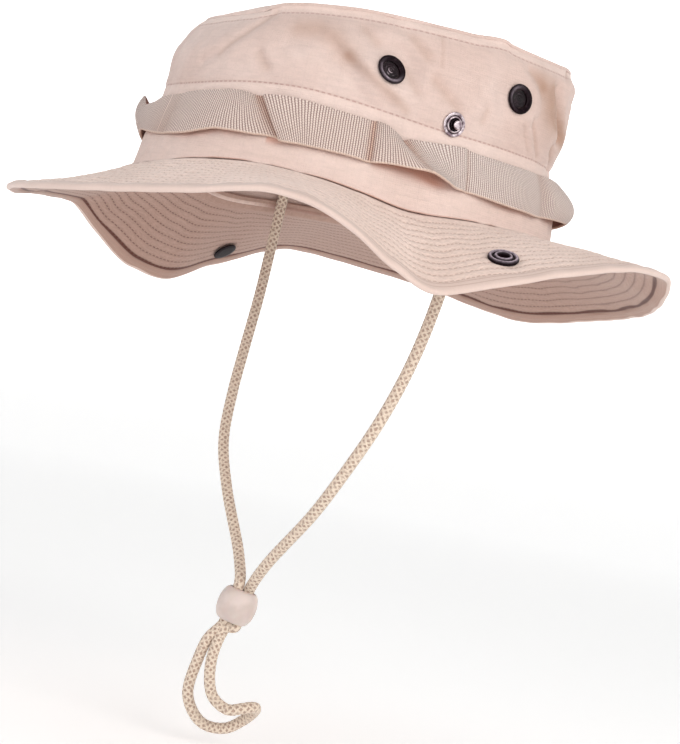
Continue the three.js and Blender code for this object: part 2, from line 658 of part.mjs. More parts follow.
ventSpots().forEach((spot, i) => {
  const name = `${SIDES[Math.floor(i / 2)].side}_${VENTS[i % 2].name}`;
  addFitting(`vent_${name}`, turned(VENT_PROFILE, 14), BLACK_PAINT, spot);
  const screenRadius = VENT_HOLE - GAP;
  const screen = new THREE.CylinderGeometry(screenRadius, screenRadius, SCREEN_THICKNESS, 14);
  screen.translate(0, -SCREEN_THICKNESS, 0);
  addFitting(`vent_screen_${name}`, screen, MESH_SCREEN, spot);
});
studSpots().forEach((spot, i) => {
  addFitting(`snap_stud_${SIDES[i].side}`, turned(STUD_PROFILE, 14), NICKEL, spot);
});
socketSpots().forEach((spot, i) => {
  addFitting(`snap_socket_${SIDES[i].side}`, turned(SOCKET_PROFILE, 14), BLACK_PAINT, spot);
});

add('chin_cord', chinCord(), CORD);
const bead = add('cord_slider', cordSlider(), BEAD);
const beadTurn = new THREE.Matrix4().makeBasis(
  STRAND_SIDE,
  BEAD_AXIS,
  new THREE.Vector3().crossVectors(STRAND_SIDE, BEAD_AXIS).normalize(),
);
bead.position.copy(BEAD_CENTRE);
bead.quaternion.setFromRotationMatrix(beadTurn);

export default hat;
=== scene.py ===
"""Dresses the bush hat: soft cloth crown and brim, webbing band, fittings and chin cord.

Sizes are in millimetres, +Z is up through the crown, the front faces -Y and the
wearer's left is +X, as in the frame. Meshes are written in metres.
"""

import logging
import math
from collections.abc import Callable
from dataclasses import dataclass, field
from enum import Enum
from typing import Protocol

import bpy
import numpy as np
from mathutils import Matrix, Vector

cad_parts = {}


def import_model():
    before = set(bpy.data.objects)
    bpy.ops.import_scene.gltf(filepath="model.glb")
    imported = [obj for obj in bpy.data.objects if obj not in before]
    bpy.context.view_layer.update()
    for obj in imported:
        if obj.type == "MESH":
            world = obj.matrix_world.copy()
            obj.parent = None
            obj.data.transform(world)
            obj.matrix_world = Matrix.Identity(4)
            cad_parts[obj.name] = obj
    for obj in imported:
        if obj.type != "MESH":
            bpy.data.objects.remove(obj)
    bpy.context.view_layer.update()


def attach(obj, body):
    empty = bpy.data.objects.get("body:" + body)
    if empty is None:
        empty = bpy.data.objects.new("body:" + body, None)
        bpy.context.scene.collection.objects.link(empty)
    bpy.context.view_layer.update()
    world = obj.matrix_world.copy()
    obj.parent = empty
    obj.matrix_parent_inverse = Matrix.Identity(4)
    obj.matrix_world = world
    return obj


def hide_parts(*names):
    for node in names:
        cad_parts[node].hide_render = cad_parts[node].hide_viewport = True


LOG = logging.getLogger("bush_hat")
Array = np.ndarray

MM = 0.001  # metres in a millimetre
MM_PER_DEGREE = 1.6  # distance along the crown's wall for each degree round the hat
GROOVE = 0.9  # half width of the groove that a sewn line presses into the cloth
SEGMENTS = 48  # points round a turned fitting
FAR = 99.0  # a distance mark's value on the parts that its line doesn't touch
WHITE = (1.0, 1.0, 1.0, 1.0)


class Side(Enum):
    """The two sides of the hat, as its wearer names them."""

    LEFT = 1
    RIGHT = -1

    @property
    def word(self) -> str:
        """The side's word in the frame's node names."""
        return self.name.lower()


# ---- curves through tables ----


def smooth_through(xs: Array, ys: Array, x: Array) -> Array:
    """Reads smooth curves that pass through given points and never overshoot them.

    Each span is a cubic whose end slopes are weighted harmonic means of the slopes of
    the two neighbouring spans, or nothing where those have opposite signs.

    Args:
        xs: Places of the points, rising along the last axis.
        ys: Values there, of the same shape as xs, or one row for all.
        x: Where to read, one place for each row of xs.

    Returns:
        The value of each row's curve at its place.
    """
    count = np.shape(xs)[-1]
    xs = np.broadcast_to(xs, x.shape + (count,))
    ys = np.broadcast_to(ys, x.shape + (count,))
    gaps = np.diff(xs)
    steps = np.diff(ys) / gaps
    before, after = steps[..., :-1], steps[..., 1:]
    w1 = 2 * gaps[..., 1:] + gaps[..., :-1]
    w2 = gaps[..., 1:] + 2 * gaps[..., :-1]
    same = before * after > 0
    mean = (w1 + w2) / (w1 / np.where(same, before, 1) + w2 / np.where(same, after, 1))
    inner = np.where(same, mean, 0)
    slopes = np.concatenate([steps[..., :1], inner, steps[..., -1:]], axis=-1)
    i = (x[..., None] > xs[..., 1:-1]).sum(axis=-1)[..., None]

    def at(values: Array, k: Array) -> Array:
        """The value of each row at its own index."""
        return np.take_along_axis(values, k, -1)[..., 0]

    h = at(gaps, i)
    t = np.clip((x - at(xs, i)) / h, 0, 1)
    first = (1 + 2 * t) * (1 - t) ** 2 * at(ys, i) + t * (1 - t) ** 2 * h * at(slopes, i)
    last = t * t * (3 - 2 * t) * at(ys, i + 1) + t * t * (t - 1) * h * at(slopes, i + 1)
    return first + last


def step_up(x: Array, low: float | Array, high: float | Array) -> Array:
    """Rises from 0 at low to 1 at high along a cubic with level ends."""
    t = np.clip((x - low) / (high - low), 0, 1)
    return t * t * (3 - 2 * t)


def bell(distance: Array, half_width: float) -> Array:
    """A bell of height 1, exp(-(distance / half width) squared)."""
    return np.exp(-((distance / half_width) ** 2))


@dataclass(frozen=True)
class RoundTable:
    """Sizes at angles round the hat, each column read as a smooth closed curve.

    The first column is the angle in degrees: 0 front, 90 wearer's left, 180 back. A row
    may leave out the zeros at its end.
    """

    columns: tuple[str, ...]
    rows: tuple[tuple[float, ...], ...]

    def read(self, column: str, at: Array) -> Array:
        """Reads a column round the hat.

        Args:
            column: The column's name.
            at: Angles in degrees, of any size.

        Returns:
            The column's value at each angle.
        """
        width = len(self.columns)
        rows = np.array([(*row, *[0] * (width - len(row))) for row in self.rows], float)
        wrap = np.arange(-2, len(rows) + 2)
        turns, k = np.divmod(wrap, len(rows))
        xs = rows[k, 0] + 360 * turns
        ys = rows[k, self.columns.index(column)]
        first = rows[0, 0]
        places = first + (np.asarray(at, float) - first) % 360
        fine = first + np.linspace(0, 360, 8 * 360 + 1)
        return np.interp(places, fine, smooth_through(xs, ys, fine))


@dataclass(frozen=True)
class Crease:
    """A soft dent along a line over the crown wall, through angles and heights in turn."""

    through: tuple[float, ...]
    half_width: float
    depth: float

    def dent(self, at: Array, z: Array) -> Array:
        """How deep the wall is pushed in: the depth times a bell of the distance.

        Args:
            at: Angles in degrees.
            z: Heights, of the same shape.

        Returns:
            The depth at each place.
        """
        places = np.array(self.through, float).reshape(-1, 2)
        turn = (at - places[0, 0] + 540) % 360 - 180
        p = np.stack([turn * MM_PER_DEGREE, z], axis=-1)
        line = (places - [places[0, 0], 0]) * [MM_PER_DEGREE, 1]
        nearest = np.full(at.shape, np.inf)
        for start, end in zip(line[:-1], line[1:]):
            run = end - start
            along = np.clip((p - start) @ run / (run @ run), 0, 1)
            gap = p - start - along[..., None] * run
            nearest = np.minimum(nearest, np.hypot(gap[..., 0], gap[..., 1]))
        return self.depth * bell(nearest, self.half_width)


def ripple(at: Array, across: Array, seed: int, around: tuple[int, int], wave: float) -> Array:
    """Soft unevenness of old, used cloth, between about -1 and 1.

    The sum of a few cosines, each with its own whole number of waves round the hat,
    its own wave length across it and its own phase, drawn from a seeded generator.

    Args:
        at: Angles in degrees.
        across: Distances across the cloth in millimetres, of the same shape.
        seed: Seed of the generator.
        around: Fewest and most waves round the hat.
        wave: Shortest wave length across the cloth.

    Returns:
        The unevenness at each place.
    """
    draw, count = np.random.default_rng(seed), 14
    waves = draw.integers(around[0], around[1], count)
    pace = draw.uniform(-1, 1, count) * math.tau / wave
    phase = draw.uniform(0, math.tau, count)
    total = np.zeros(np.broadcast(at, across).shape)
    for n, k, start in zip(waves, pace, phase):
        total += np.cos(n * np.radians(at) + k * across + start)
    return total / math.sqrt(count)


# ---- the shape of the hat on its wearer's head ----


@dataclass(frozen=True)
class Spot:
    """Where a fitting sits: its middle on the cloth and the way out of the cloth."""

    point: Array
    outward: Array

    def axis(self, height: float) -> Array:
        """The point of the spot's axis at a height."""
        return self.point + self.outward * height

    def turned(self, profile: Array, segments: int = SEGMENTS) -> Array:
        """Carries a profile round the axis.

        A point (radius, height) becomes middle + outward * height + radius * (side *
        cos + other side * sin) for each angle.

        Args:
            profile: Rows of radius and height.
            segments: Points round the axis.

        Returns:
            A grid of points, segments by profile rows by 3.
        """
        side = np.cross(self.outward, [0.0, 0.0, 1.0])
        side /= np.linalg.norm(side)
        other = np.cross(self.outward, side)
        turn = np.linspace(0, math.tau, segments, endpoint=False)[:, None, None]
        radius, height = profile[:, 0, None], profile[:, 1, None]
        round_axis = radius * (np.cos(turn) * side + np.sin(turn) * other)
        return self.point + height * self.outward + round_axis

    def solid(self, profile: Array, segments: int = SEGMENTS, **marks: Array) -> "Skin":
        """A profile carried round the axis, and closed on it at both ends."""
        ends = self.axis(profile[0, 1]), self.axis(profile[-1, 1])
        return Skin(self.turned(profile, segments), ends=ends, marks=marks)

    @classmethod
    def on(
        cls, surface: Callable[[float, float], Array], at: float, far: float, step: float
    ) -> "Spot":
        """The spot at a place of a surface.

        The way out is the cross product of two short runs over the surface: round the
        hat, and the other way.

        Args:
            surface: Gives the point at an angle and a distance.
            at: Angle of the spot, in degrees.
            far: Distance of the spot.
            step: Half the second run; below zero it turns the way out over.

        Returns:
            The spot.
        """
        round_hat = surface(at + 3, far) - surface(at - 3, far)
        onward = surface(at, far + step) - surface(at, far - step)
        outward = np.cross(round_hat, onward)
        return cls(surface(at, far), outward / np.linalg.norm(outward))


@dataclass(frozen=True)
class VentPlace:
    """Where a vent is, how a fold slopes the cloth round it, and where its rim is painted bright.

    The slopes are inward, for each millimetre round the hat and up. The rim gets a
    painted highlight of an amount on the side of an angle round the vent.
    """

    at: float
    z: float
    slope_round: float
    slope_up: float
    worn_at: float
    worn: float


VENTS = {
    "front": VentPlace(69.0, 51.7, slope_round=0.3, slope_up=0.38, worn_at=60.0, worn=1.0),
    "back": VentPlace(108.0, 54.8, slope_round=-0.18, slope_up=0.04, worn_at=-25.0, worn=0.35),
}
STUD_PLACE = (88.8, 35.8)  # angle and height on the crown
SOCKET_PLACE = (92.6, 38.2)  # angle and distance out over the brim


@dataclass(frozen=True)
class HatForm:
    """The shape the cloth hangs in when the hat is on a head, as in the frame.

    Seam is the sewn line where the brim meets the crown. Crown gives how far in the
    wall stands at five levels, and the heights of its waist seam and top. Brim gives
    its width along the cloth, its edge's height and its bow. Edge gives how the top
    edge lifts, dips and fills out, and gape how far the brim's seam is open.
    """

    crown_length: float = 207.0
    crown_width: float = 170.0
    band_level: float = 0.48
    belly_rise: float = 15.0
    shoulder_drop: float = 11.0
    vent_reach: float = 6.5
    slant_reach: tuple[float, float] = (8.0, 17.0)
    full_reach: tuple[float, float] = (13.0, 3.0)
    blur: tuple[tuple[float, float], ...] = (
        (-7, 0.0625), (-3.5, 0.25), (0, 0.375), (3.5, 0.25), (7, 0.0625),
    )

    seam: RoundTable = RoundTable(
        ("at", "z"),
        (
            (0, -4), (25, 0), (40, 1.4), (55, 0), (66, -2.6), (80, -6.2), (99, -3.7),
            (135, -1.9), (180, -1), (225, -2), (262, -4), (280, -6), (300, -2),
            (322, -1), (346, -4.9),
        ),
    )
    crown: RoundTable = RoundTable(
        ("at", "band", "waist", "waist_z", "belly", "shoulder", "top", "top_z"),
        (
            (0, 3.5, 8, 33, 8.5, 12, 22, 66), (45, 3, 6.5, 37, 6, 10, 20, 73),
            (90, 2, 6, 31.8, 4, 6.5, 13, 76.8), (135, 1.5, 6.5, 32, 2.6, 2.6, 9, 77.5),
            (180, 1.5, 7, 33, 2.8, 2.8, 9.5, 79.5), (225, 1.5, 6.5, 32.5, 3.2, 3.6, 10, 78.5),
            (270, 2, 6, 32, 4.5, 7.5, 14, 75), (315, 3, 7.5, 34, 8, 12, 22, 68),
        ),
    )
    brim: RoundTable = RoundTable(
        ("at", "width", "edge_z", "bow"),
        (
            (0, 56.5, -24.6, 0.25), (20, 57.5, -22.4, 0.1), (35, 58.5, -18.2),
            (49, 59, -12.3, -0.1), (55, 59, -14.3, -0.1), (62, 59, -21.2, -0.1),
            (70, 59, -32.6, -0.1), (78, 59, -38.6), (88, 59, -31), (99, 59, -21.2),
            (122, 59, -9, -0.2), (135, 59, -8, -0.4), (150, 59, -18.5, -0.5),
            (179, 59, -27.5, -0.3), (197, 59, -33, -0.2), (225, 59, -22, -0.2),
            (248, 59, -17, -0.2), (266, 59, -34, -0.2), (281, 59, -47.5, -0.1),
            (289, 59, -45, -0.1), (297, 59, -31, -0.1), (304, 58.5, -19),
            (316, 57.5, -20.4, 0.2), (335, 56.5, -24.4, 0.35),
        ),
    )
    edge: RoundTable = RoundTable(
        ("at", "lift", "dip", "full"),
        (
            (0, -0.6, 0.2, 1.4), (8, 0.4, 0.6, 0.6), (16, 1.6, 2.2), (23, 2.2, 3.2),
            (29, 1.8, 1.4), (34, 1.2), (46, 1.1), (58, 0.9), (66, 0.3), (74, -0.4), (84, -1),
            (92, -0.9), (96.5, -0.2), (100, 0.6), (104, 0.9), (107, -0.2), (118, -0.8, 0, 0.2),
            (130, -0.4, 0, 1.2), (140, 0.4, 0, 3), (155, 0.6, 0, 3.4), (175, 0, 0, 1.5),
            (200, 0), (250, 0), (300, 0.1, 0, 1), (330, -0.8, 0, 1.8), (346, -1.2, 0, 2),
        ),
    )
    creases: tuple[Crease, ...] = (
        Crease((31, 68, 25, 58, 17, 48, 10, 44), 3, 1.5),
        Crease((40, 57, 48, 58.5, 55, 52), 6.5, 2.2),
        Crease((54, 56, 58, 50.5, 63, 45, 70, 38.5), 3.2, 1.6),
        Crease((51, 66, 57, 60, 62, 53), 3.2, -0.9),
        Crease((60, 69, 64.5, 62.5, 66, 60), 2.8, 1.2), Crease((72, 71, 76, 66, 79, 61), 3, 1.5),
        Crease((82.5, 72, 82.5, 59), 0.8, 0.4), Crease((73.5, 54, 77, 45.5), 2.5, 1),
        Crease((81.5, 53, 85, 47.5, 89, 43), 3, 1.4), Crease((32, 49, 35.5, 43), 2.6, 0.9),
        Crease((98.5, 47, 97, 40.5), 2.2, 0.7), Crease((112.5, 69, 117, 63), 3.5, 1.3),
        Crease((115.5, 48, 119, 41, 124, 34), 1.2, 0.8), Crease((112, 45, 118, 35), 1.2, 0.5),
        Crease((128.5, 66, 132, 57, 138, 47), 3.8, 3.6), Crease((134.5, 41, 141, 33), 3, 2.2),
        Crease((133, 73, 139, 78), 1.3, 0.8), Crease((318, 62, 300, 44), 5, 2),
        Crease((238, 66, 228, 46), 6, 2), Crease((205, 70, 213, 58, 216, 44), 4, 1.8),
        Crease((168, 68, 160, 52), 4.5, 1.8), Crease((285, 66, 279, 52, 270, 42), 3.5, 1.6),
    )
    # Lines of painted shade along the crown's creases; they colour the cloth and don't shape it
    fold_shades: tuple[Crease, ...] = (
        Crease((31, 68.5, 25, 57.5, 17, 47), 1.6, 0.35),
        Crease((42, 62.5, 48.5, 64, 54, 60, 57.5, 54.5), 4.6, 0.5),
        Crease((57.5, 54.5, 63, 48, 70.5, 41, 75, 36.5), 2, 0.45),
        Crease((61, 67, 64.5, 62.5), 2.2, 0.3), Crease((74.5, 68, 78.5, 62), 2.6, 0.35),
        Crease((82.5, 72.5, 82.5, 58.5), 0.8, 0.3), Crease((73.5, 53.5, 77, 45.5), 2, 0.3),
        Crease((81.5, 52, 85, 47.5, 89.5, 42), 2.2, 0.35), Crease((32.5, 48, 35.5, 43), 2.2, 0.3),
        Crease((98, 45.5, 97.5, 40.5), 1.7, 0.25), Crease((113.5, 68, 118, 64.5), 3, 0.35),
        Crease((116, 47, 119.5, 41, 124, 34.5), 0.9, 0.35),
        Crease((112, 44.5, 118, 35), 0.9, 0.25), Crease((118, 67.5, 121, 60, 123, 53), 5.5, 0.4),
        Crease((118.5, 61, 122, 55, 126, 49), 9, 0.34),
        Crease((125, 64, 127.5, 58.5, 129.5, 53.5), 5.2, 1.15),
        Crease((128.5, 57, 132, 54, 138, 50, 142, 46), 4.6, 1.1),
        Crease((134.5, 40.5, 139, 35), 2.4, 0.8), Crease((134, 74, 139, 78), 0.8, 0.5),
    )
    gape: RoundTable = RoundTable(
        ("at", "open"),
        (
            (0, 0), (12, 0), (15, 0.45), (23, 0.5), (27, 1), (35, 0.9), (39, 0.1), (41, 0),
            (44, 0.4), (48, 0.4), (50, 0.1), (53, 0.6), (62, 1), (80, 1), (88, 0.7),
            (99, 0.6), (101.5, 0.1), (104.5, 0.6), (107.5, 0), (130, 0), (150, 0.6),
            (190, 0.9), (205, 0), (220, 0), (235, 0.7), (262, 0.8), (275, 0), (300, 0.5),
            (325, 0.6), (335, 0),
        ),
    )

    def place(self, at: Array, out: Array, z: Array) -> Array:
        """Points that stand off the oval of the head opening.

        A point is (half width * sin, -half length * cos) moved out along the oval's
        normal, at its height.

        Args:
            at: Angles in degrees.
            out: Distances out from the oval.
            z: Heights.

        Returns:
            Points, with x, y and z in a new last axis.
        """
        turn = np.radians(at)
        sin, cos = np.sin(turn), np.cos(turn)
        normal = np.stack([sin / (self.crown_width / 2), -cos / (self.crown_length / 2)])
        normal = normal / np.hypot(normal[0], normal[1])
        x = self.crown_width / 2 * sin + normal[0] * out
        y = -self.crown_length / 2 * cos + normal[1] * out
        return np.stack(np.broadcast_arrays(x, y, z), axis=-1)

    def near_vents(self, at: Array, z: Array) -> Array:
        """Distance over the wall from the nearest vent's middle.

        Args:
            at: Angles in degrees.
            z: Heights, of the same shape.

        Returns:
            The distances.
        """
        turn = np.abs((at + 540) % 360 - 180)
        gaps = [np.hypot((turn - vent.at) * MM_PER_DEGREE, z - vent.z) for vent in VENTS.values()]
        return np.minimum.reduce(gaps)

    def top_z(self, at: Array) -> Array:
        """Height of the crown's top edge, with its own unevenness."""
        return self.crown.read("top_z", at) + self.edge.read("lift", at) - self.edge.read("dip", at)

    def slant(self, at: Array, z: Array) -> Array:
        """How far the cloth is turned in round the left vents, which a fold sets askew.

        Round each of them it is (slope * distance round + slope * distance up), which
        dies out a little way off the vent.

        Args:
            at: Angles in degrees.
            z: Heights, of the same shape.

        Returns:
            Distances in.
        """
        total = np.zeros_like(z)
        for vent in VENTS.values():
            round_hat = ((at - vent.at + 540) % 360 - 180) * MM_PER_DEGREE
            rise = z - vent.z
            near = 1 - step_up(np.hypot(round_hat, rise), *self.slant_reach)
            total += near * (vent.slope_round * round_hat + vent.slope_up * rise)
        return total

    def crown_out(self, at: Array, z: Array) -> Array:
        """How far the outside of the crown stands from the oval at a height.

        Six levels, from the seam to the top edge, are joined by a smooth curve, which
        is blurred up and down above the waist. The creases are taken off it above the
        band. They die out at the vents.

        Args:
            at: Angles in degrees.
            z: Heights, of the same shape.

        Returns:
            Distances out from the oval.
        """
        low, waist = self.seam.read("z", at), self.crown.read("waist_z", at)
        top = self.crown.read("top_z", at)
        full = self.edge.read("full", at) * step_up(z, *(top - off for off in self.full_reach))
        band_z = low + self.band_level * (waist - low)
        heights = [low, band_z, waist, waist + self.belly_rise, top - self.shoulder_drop, top]
        levels = ("band", "waist", "belly", "shoulder", "top")
        insets = [np.zeros_like(low), *(self.crown.read(level, at) for level in levels)]
        heights, insets = np.stack(heights, -1), np.stack(insets, -1)
        plain = smooth_through(heights, insets, z)
        nearby = sum(
            weight * smooth_through(heights, insets, z + shift) for shift, weight in self.blur
        )
        soft = step_up(z, waist, waist + 6) * step_up(top - z, 0.5, 9.0)
        out = -(plain + soft * (nearby - plain))
        dents = sum(crease.dent(at, z) for crease in self.creases)
        flat = step_up(self.near_vents(at, z), self.vent_reach, self.vent_reach + 4)
        return out + full - self.slant(at, z) - step_up(z, band_z, waist) * flat * dents

    def on_crown(self, at: float, z: float) -> Array:
        """The point of the crown's outside at an angle and height."""
        turn, height = np.array([float(at)]), np.array([float(z)])
        return self.place(turn, self.crown_out(turn, height), height)[0]

    def on_brim(self, at: float, reach: float) -> Array:
        """The point of the brim's upper face at an angle and distance out.

        Args:
            at: Angle in degrees.
            reach: Distance out from the oval.

        Returns:
            The point.
        """
        line = self.brim_line(np.array([at]), np.linspace(0, 1, 401))[0]
        z = np.interp(reach, line[:, 0], line[:, 1])
        return self.place(np.array([at]), np.array([reach]), np.array([z]))[0]

    def vent_spot(self, side: Side, place: VentPlace) -> Spot:
        """Where a vent sits on the crown."""
        return Spot.on(self.on_crown, side.value * place.at, place.z, 3)

    def stud_spot(self, side: Side) -> Spot:
        """Where a press stud's post sits on the crown."""
        return Spot.on(self.on_crown, side.value * STUD_PLACE[0], STUD_PLACE[1], 3)

    def socket_spot(self, side: Side) -> Spot:
        """Where a press stud's socket sits on the brim, with the way up out of it."""
        return Spot.on(self.on_brim, side.value * SOCKET_PLACE[0], SOCKET_PLACE[1], -4)

    def brim_line(self, at: Array, share: Array) -> Array:
        """The upper face of the brim, from the seam out to its edge.

        The cloth has a fixed width along its slope. Its fall at a share t of the width
        is drop * (1 + bow * (1 - 2t)), and its reach is the rest of the slope.

        Args:
            at: Angles in degrees, one for each line.
            share: Shares of the width, from 0 at the seam to 1 at the edge.

        Returns:
            Rows of (out, z), lines by shares by 2.
        """
        start = self.seam.read("z", at)[:, None]
        width = self.brim.read("width", at)[:, None]
        bow = self.brim.read("bow", at)[:, None]
        drop = self.brim.read("edge_z", at)[:, None] - start
        count = 400
        t = (np.arange(count) + 0.5) / count
        slope = np.sqrt(width**2 - (drop * (1 + bow * (1 - 2 * t))) ** 2) / count
        reach = np.concatenate([np.zeros_like(start), np.cumsum(slope, axis=1)], axis=1)
        exact = np.asarray(share) * count
        low = np.minimum(count - 1, exact.astype(int))
        part = exact - low
        out = reach[:, low] * (1 - part) + reach[:, low + 1] * part
        z = start + drop * (share + bow * share * (1 - share))
        return np.stack([out, z], axis=-1)


# ---- meshes ----


def unit(vectors: Array) -> Array:
    """Each vector divided by its length."""
    return vectors / np.linalg.norm(vectors, axis=-1, keepdims=True)


def beside(line: Array) -> Array:
    """The way off each point of flat lines, at right angles to the run (x, z): (z, -x)."""
    run = unit(np.gradient(line, axis=1))
    return np.stack([run[..., 1], -run[..., 0]], axis=-1)


def wrapped(face: Array, back: Array, thickness: Array, roll: int = 5, power: float = 1.0) -> Array:
    """Closed sections of cloth from its face line, with rounded ends.

    The section runs along the face, turns round the end in a half circle as wide as
    the cloth is thick, comes back along the other side and turns round the start.

    Args:
        face: Lines of (out, z) on the face, lines by points by 2.
        back: Indices of the face's points that the other side keeps, rising.
        thickness: Thickness at each point of each line; negative puts the back on
            the other side of the face.
        roll: Points in each half circle.
        power: Exponent on the half circle's sine and cosine; below 1 is squarer.

    Returns:
        Sections, lines by section points by 2.
    """
    side = beside(face)
    behind = face - side * thickness[..., None]
    turn = np.linspace(0, math.pi, roll + 2)[1:-1, None]
    level = np.sign(np.cos(turn)) * np.abs(np.cos(turn)) ** power
    rise = np.sin(turn) ** power

    def half_circle(k: int, sign: float) -> Array:
        """The half circle round one end, from the face to the back.

        Args:
            k: Index of the end's point.
            sign: 1 at the end, -1 at the start.

        Returns:
            Its points, lines by roll by 2.
        """
        middle = (face[:, k] + behind[:, k]) / 2
        half = (thickness[:, k] / 2)[:, None]
        onward = np.stack([-side[:, k, 1], side[:, k, 0]], axis=-1) * sign
        reach = np.abs(half)[:, None] * onward[:, None] * rise
        return middle[:, None] + half[:, None] * side[:, k, None] * level + reach

    end, start = half_circle(-1, 1.0), half_circle(0, -1.0)[:, ::-1]
    return np.concatenate([face, end, behind[:, back[::-1]], start], axis=1)


class Finish(Protocol):
    """What every finish can do."""

    def material(self) -> bpy.types.Material:
        """Makes the material."""


def added(name: str, data: bpy.types.ID) -> bpy.types.Object:
    """Adds an object to the scene.

    Args:
        name: The object's name.
        data: Its mesh, camera or light.

    Returns:
        The object.
    """
    obj = bpy.data.objects.new(name, data)
    bpy.context.scene.collection.objects.link(obj)
    return obj


@dataclass
class Skin:
    """A grid of points that becomes one closed mesh.

    The grid closes on itself round the first axis. Across the second it closes on
    itself too, or its first and last rows meet in the two end points. The pattern is
    kept as a UV map called cloth, and each mark as a number at each point.
    """

    grid: Array
    ends: tuple[Array, Array] | None = None
    pattern: Array | None = None
    marks: dict[str, Array] = field(default_factory=dict)

    def shape(self, name: str) -> bpy.types.Object:
        """Makes the bare object.

        Quads join each point to its neighbours and triangles close the ends, turned so
        that the shape holds a volume above zero.

        Args:
            name: Name of the object.

        Returns:
            The object.
        """
        n, m = self.grid.shape[:2]
        points, caps = self.grid.reshape(-1, 3), []
        i, j = np.meshgrid(np.arange(n), np.arange(m - 1 if self.ends else m), indexing="ij")
        i = np.stack([i, i + 1, i + 1, i], axis=-1).reshape(-1, 4)
        j = np.stack([j, j, j + 1, j + 1], axis=-1).reshape(-1, 4)
        faces = i % n * m + j % m
        turned = -1 if signed_volume(points, faces) < 0 else 1
        if self.ends:
            k = np.arange(n)
            next_k, first, last = (k + 1) % n, np.full(n, n * m), np.full(n, n * m + 1)
            caps += [
                np.stack([next_k * m, k * m, first], axis=-1),
                np.stack([k * m + m - 1, next_k * m + m - 1, last], axis=-1),
            ]
            points = np.concatenate([points, np.stack(self.ends)])
        mesh = bpy.data.meshes.new(name)
        polygons = sum((part[:, ::turned].tolist() for part in (faces, *caps)), [])
        mesh.from_pydata((points * MM).tolist(), [], polygons)
        if self.pattern is not None:
            places = np.zeros((len(mesh.loops), 2), np.float32)
            places[: faces.size] = self.pattern[i[:, ::turned], j[:, ::turned]].reshape(-1, 2)
            mesh.uv_layers.new(name="cloth").uv.foreach_set("vector", places.ravel())
        for mark, values in self.marks.items():
            full = np.zeros(len(points), np.float32)
            full[: n * m] = np.broadcast_to(values, (n, m)).ravel()
            mesh.attributes.new(mark, "FLOAT", "POINT").data.foreach_set("value", full)
        return added(name, mesh)

    def build(self, name: str, slot: str, node: str, finish: Finish) -> bpy.types.Object:
        """Makes a smooth, dressed piece that stands for a frame node and rides on its body.

        Args:
            name: Name of the object.
            slot: The record's material slot, which is not used.
            node: The frame's node that it replaces.
            finish: Its finish.

        Returns:
            The object.
        """
        obj = self.shape(name)
        count = len(obj.data.polygons)
        obj.data.polygons.foreach_set("use_smooth", np.ones(count, bool))
        obj.data.materials.append(finish.material())
        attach(obj, "root")
        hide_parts(node)
        LOG.info("%s: %d faces", name, count)
        return obj


def signed_volume(points: Array, quads: Array) -> float:
    """A sixth of the sum of each corner triple's box product over a mesh of quads.

    Args:
        points: The mesh's points.
        quads: Rows of four indices.

    Returns:
        The volume, below zero where the quads face inwards.
    """
    a, b, c, d = (points[quads[:, k]] for k in range(4))
    middle = points.mean(axis=0)
    a, b, c, d = a - middle, b - middle, c - middle, d - middle
    total = np.einsum("ij,ij->", a, np.cross(b, c)) + np.einsum("ij,ij->", a, np.cross(c, d))
    return float(total) / 6


def seam_pattern(along: Array, across: Array) -> Array:
    """Pattern places for a closed ring's corners, with one more row and column.

    Args:
        along: Distance round the ring at each station and at the end of the round.
        across: Distance across at each section point, stations by points.

    Returns:
        Places, stations + 1 by points + 1 by 2.
    """
    across = np.pad(across, ((0, 1), (0, 1)), mode="wrap")
    return np.stack(np.broadcast_arrays(along[:, None], across), axis=-1)


def pierced(obj: bpy.types.Object, holes: list[tuple[Spot, float]], reach: float = 7.0) -> None:
    """Cuts round holes through a piece, so that its fittings go through the cloth.

    Args:
        obj: The piece.
        holes: The spot and radius of each hole.
        reach: How far a cut goes to each side of its spot.
    """
    for k, (spot, radius) in enumerate(holes):
        cut = obj.modifiers.new(f"cutter_{k}", "BOOLEAN")
        cut.operation, cut.solver = "DIFFERENCE", "MANIFOLD"
        profile = np.array([[radius, -reach], [radius, reach]])
        cut.object = spot.solid(profile, 40).shape(cut.name)
    seen = obj.evaluated_get(bpy.context.evaluated_depsgraph_get())
    mesh = bpy.data.meshes.new_from_object(seen)
    for cut in obj.modifiers:
        bpy.data.objects.remove(cut.object)
    obj.modifiers.clear()
    mesh.materials.pop()  # the empty slot that the cutters bring with them
    obj.data = mesh
    LOG.info("%s: %d faces with its holes", obj.name, len(mesh.polygons))


# ---- finishes ----

Colour = tuple[float, float, float]
Socket = bpy.types.NodeSocket


def paint(colour: Colour) -> tuple[float, float, float, float]:
    """A colour as linear light, by the display's own curve.

    Args:
        colour: Display values of 0 to 255.

    Returns:
        Red, green, blue and full alpha.
    """
    parts = [value / 255 for value in colour]
    linear = [p / 12.92 if p <= 0.04045 else ((p + 0.055) / 1.055) ** 2.4 for p in parts]
    return (linear[0], linear[1], linear[2], 1.0)


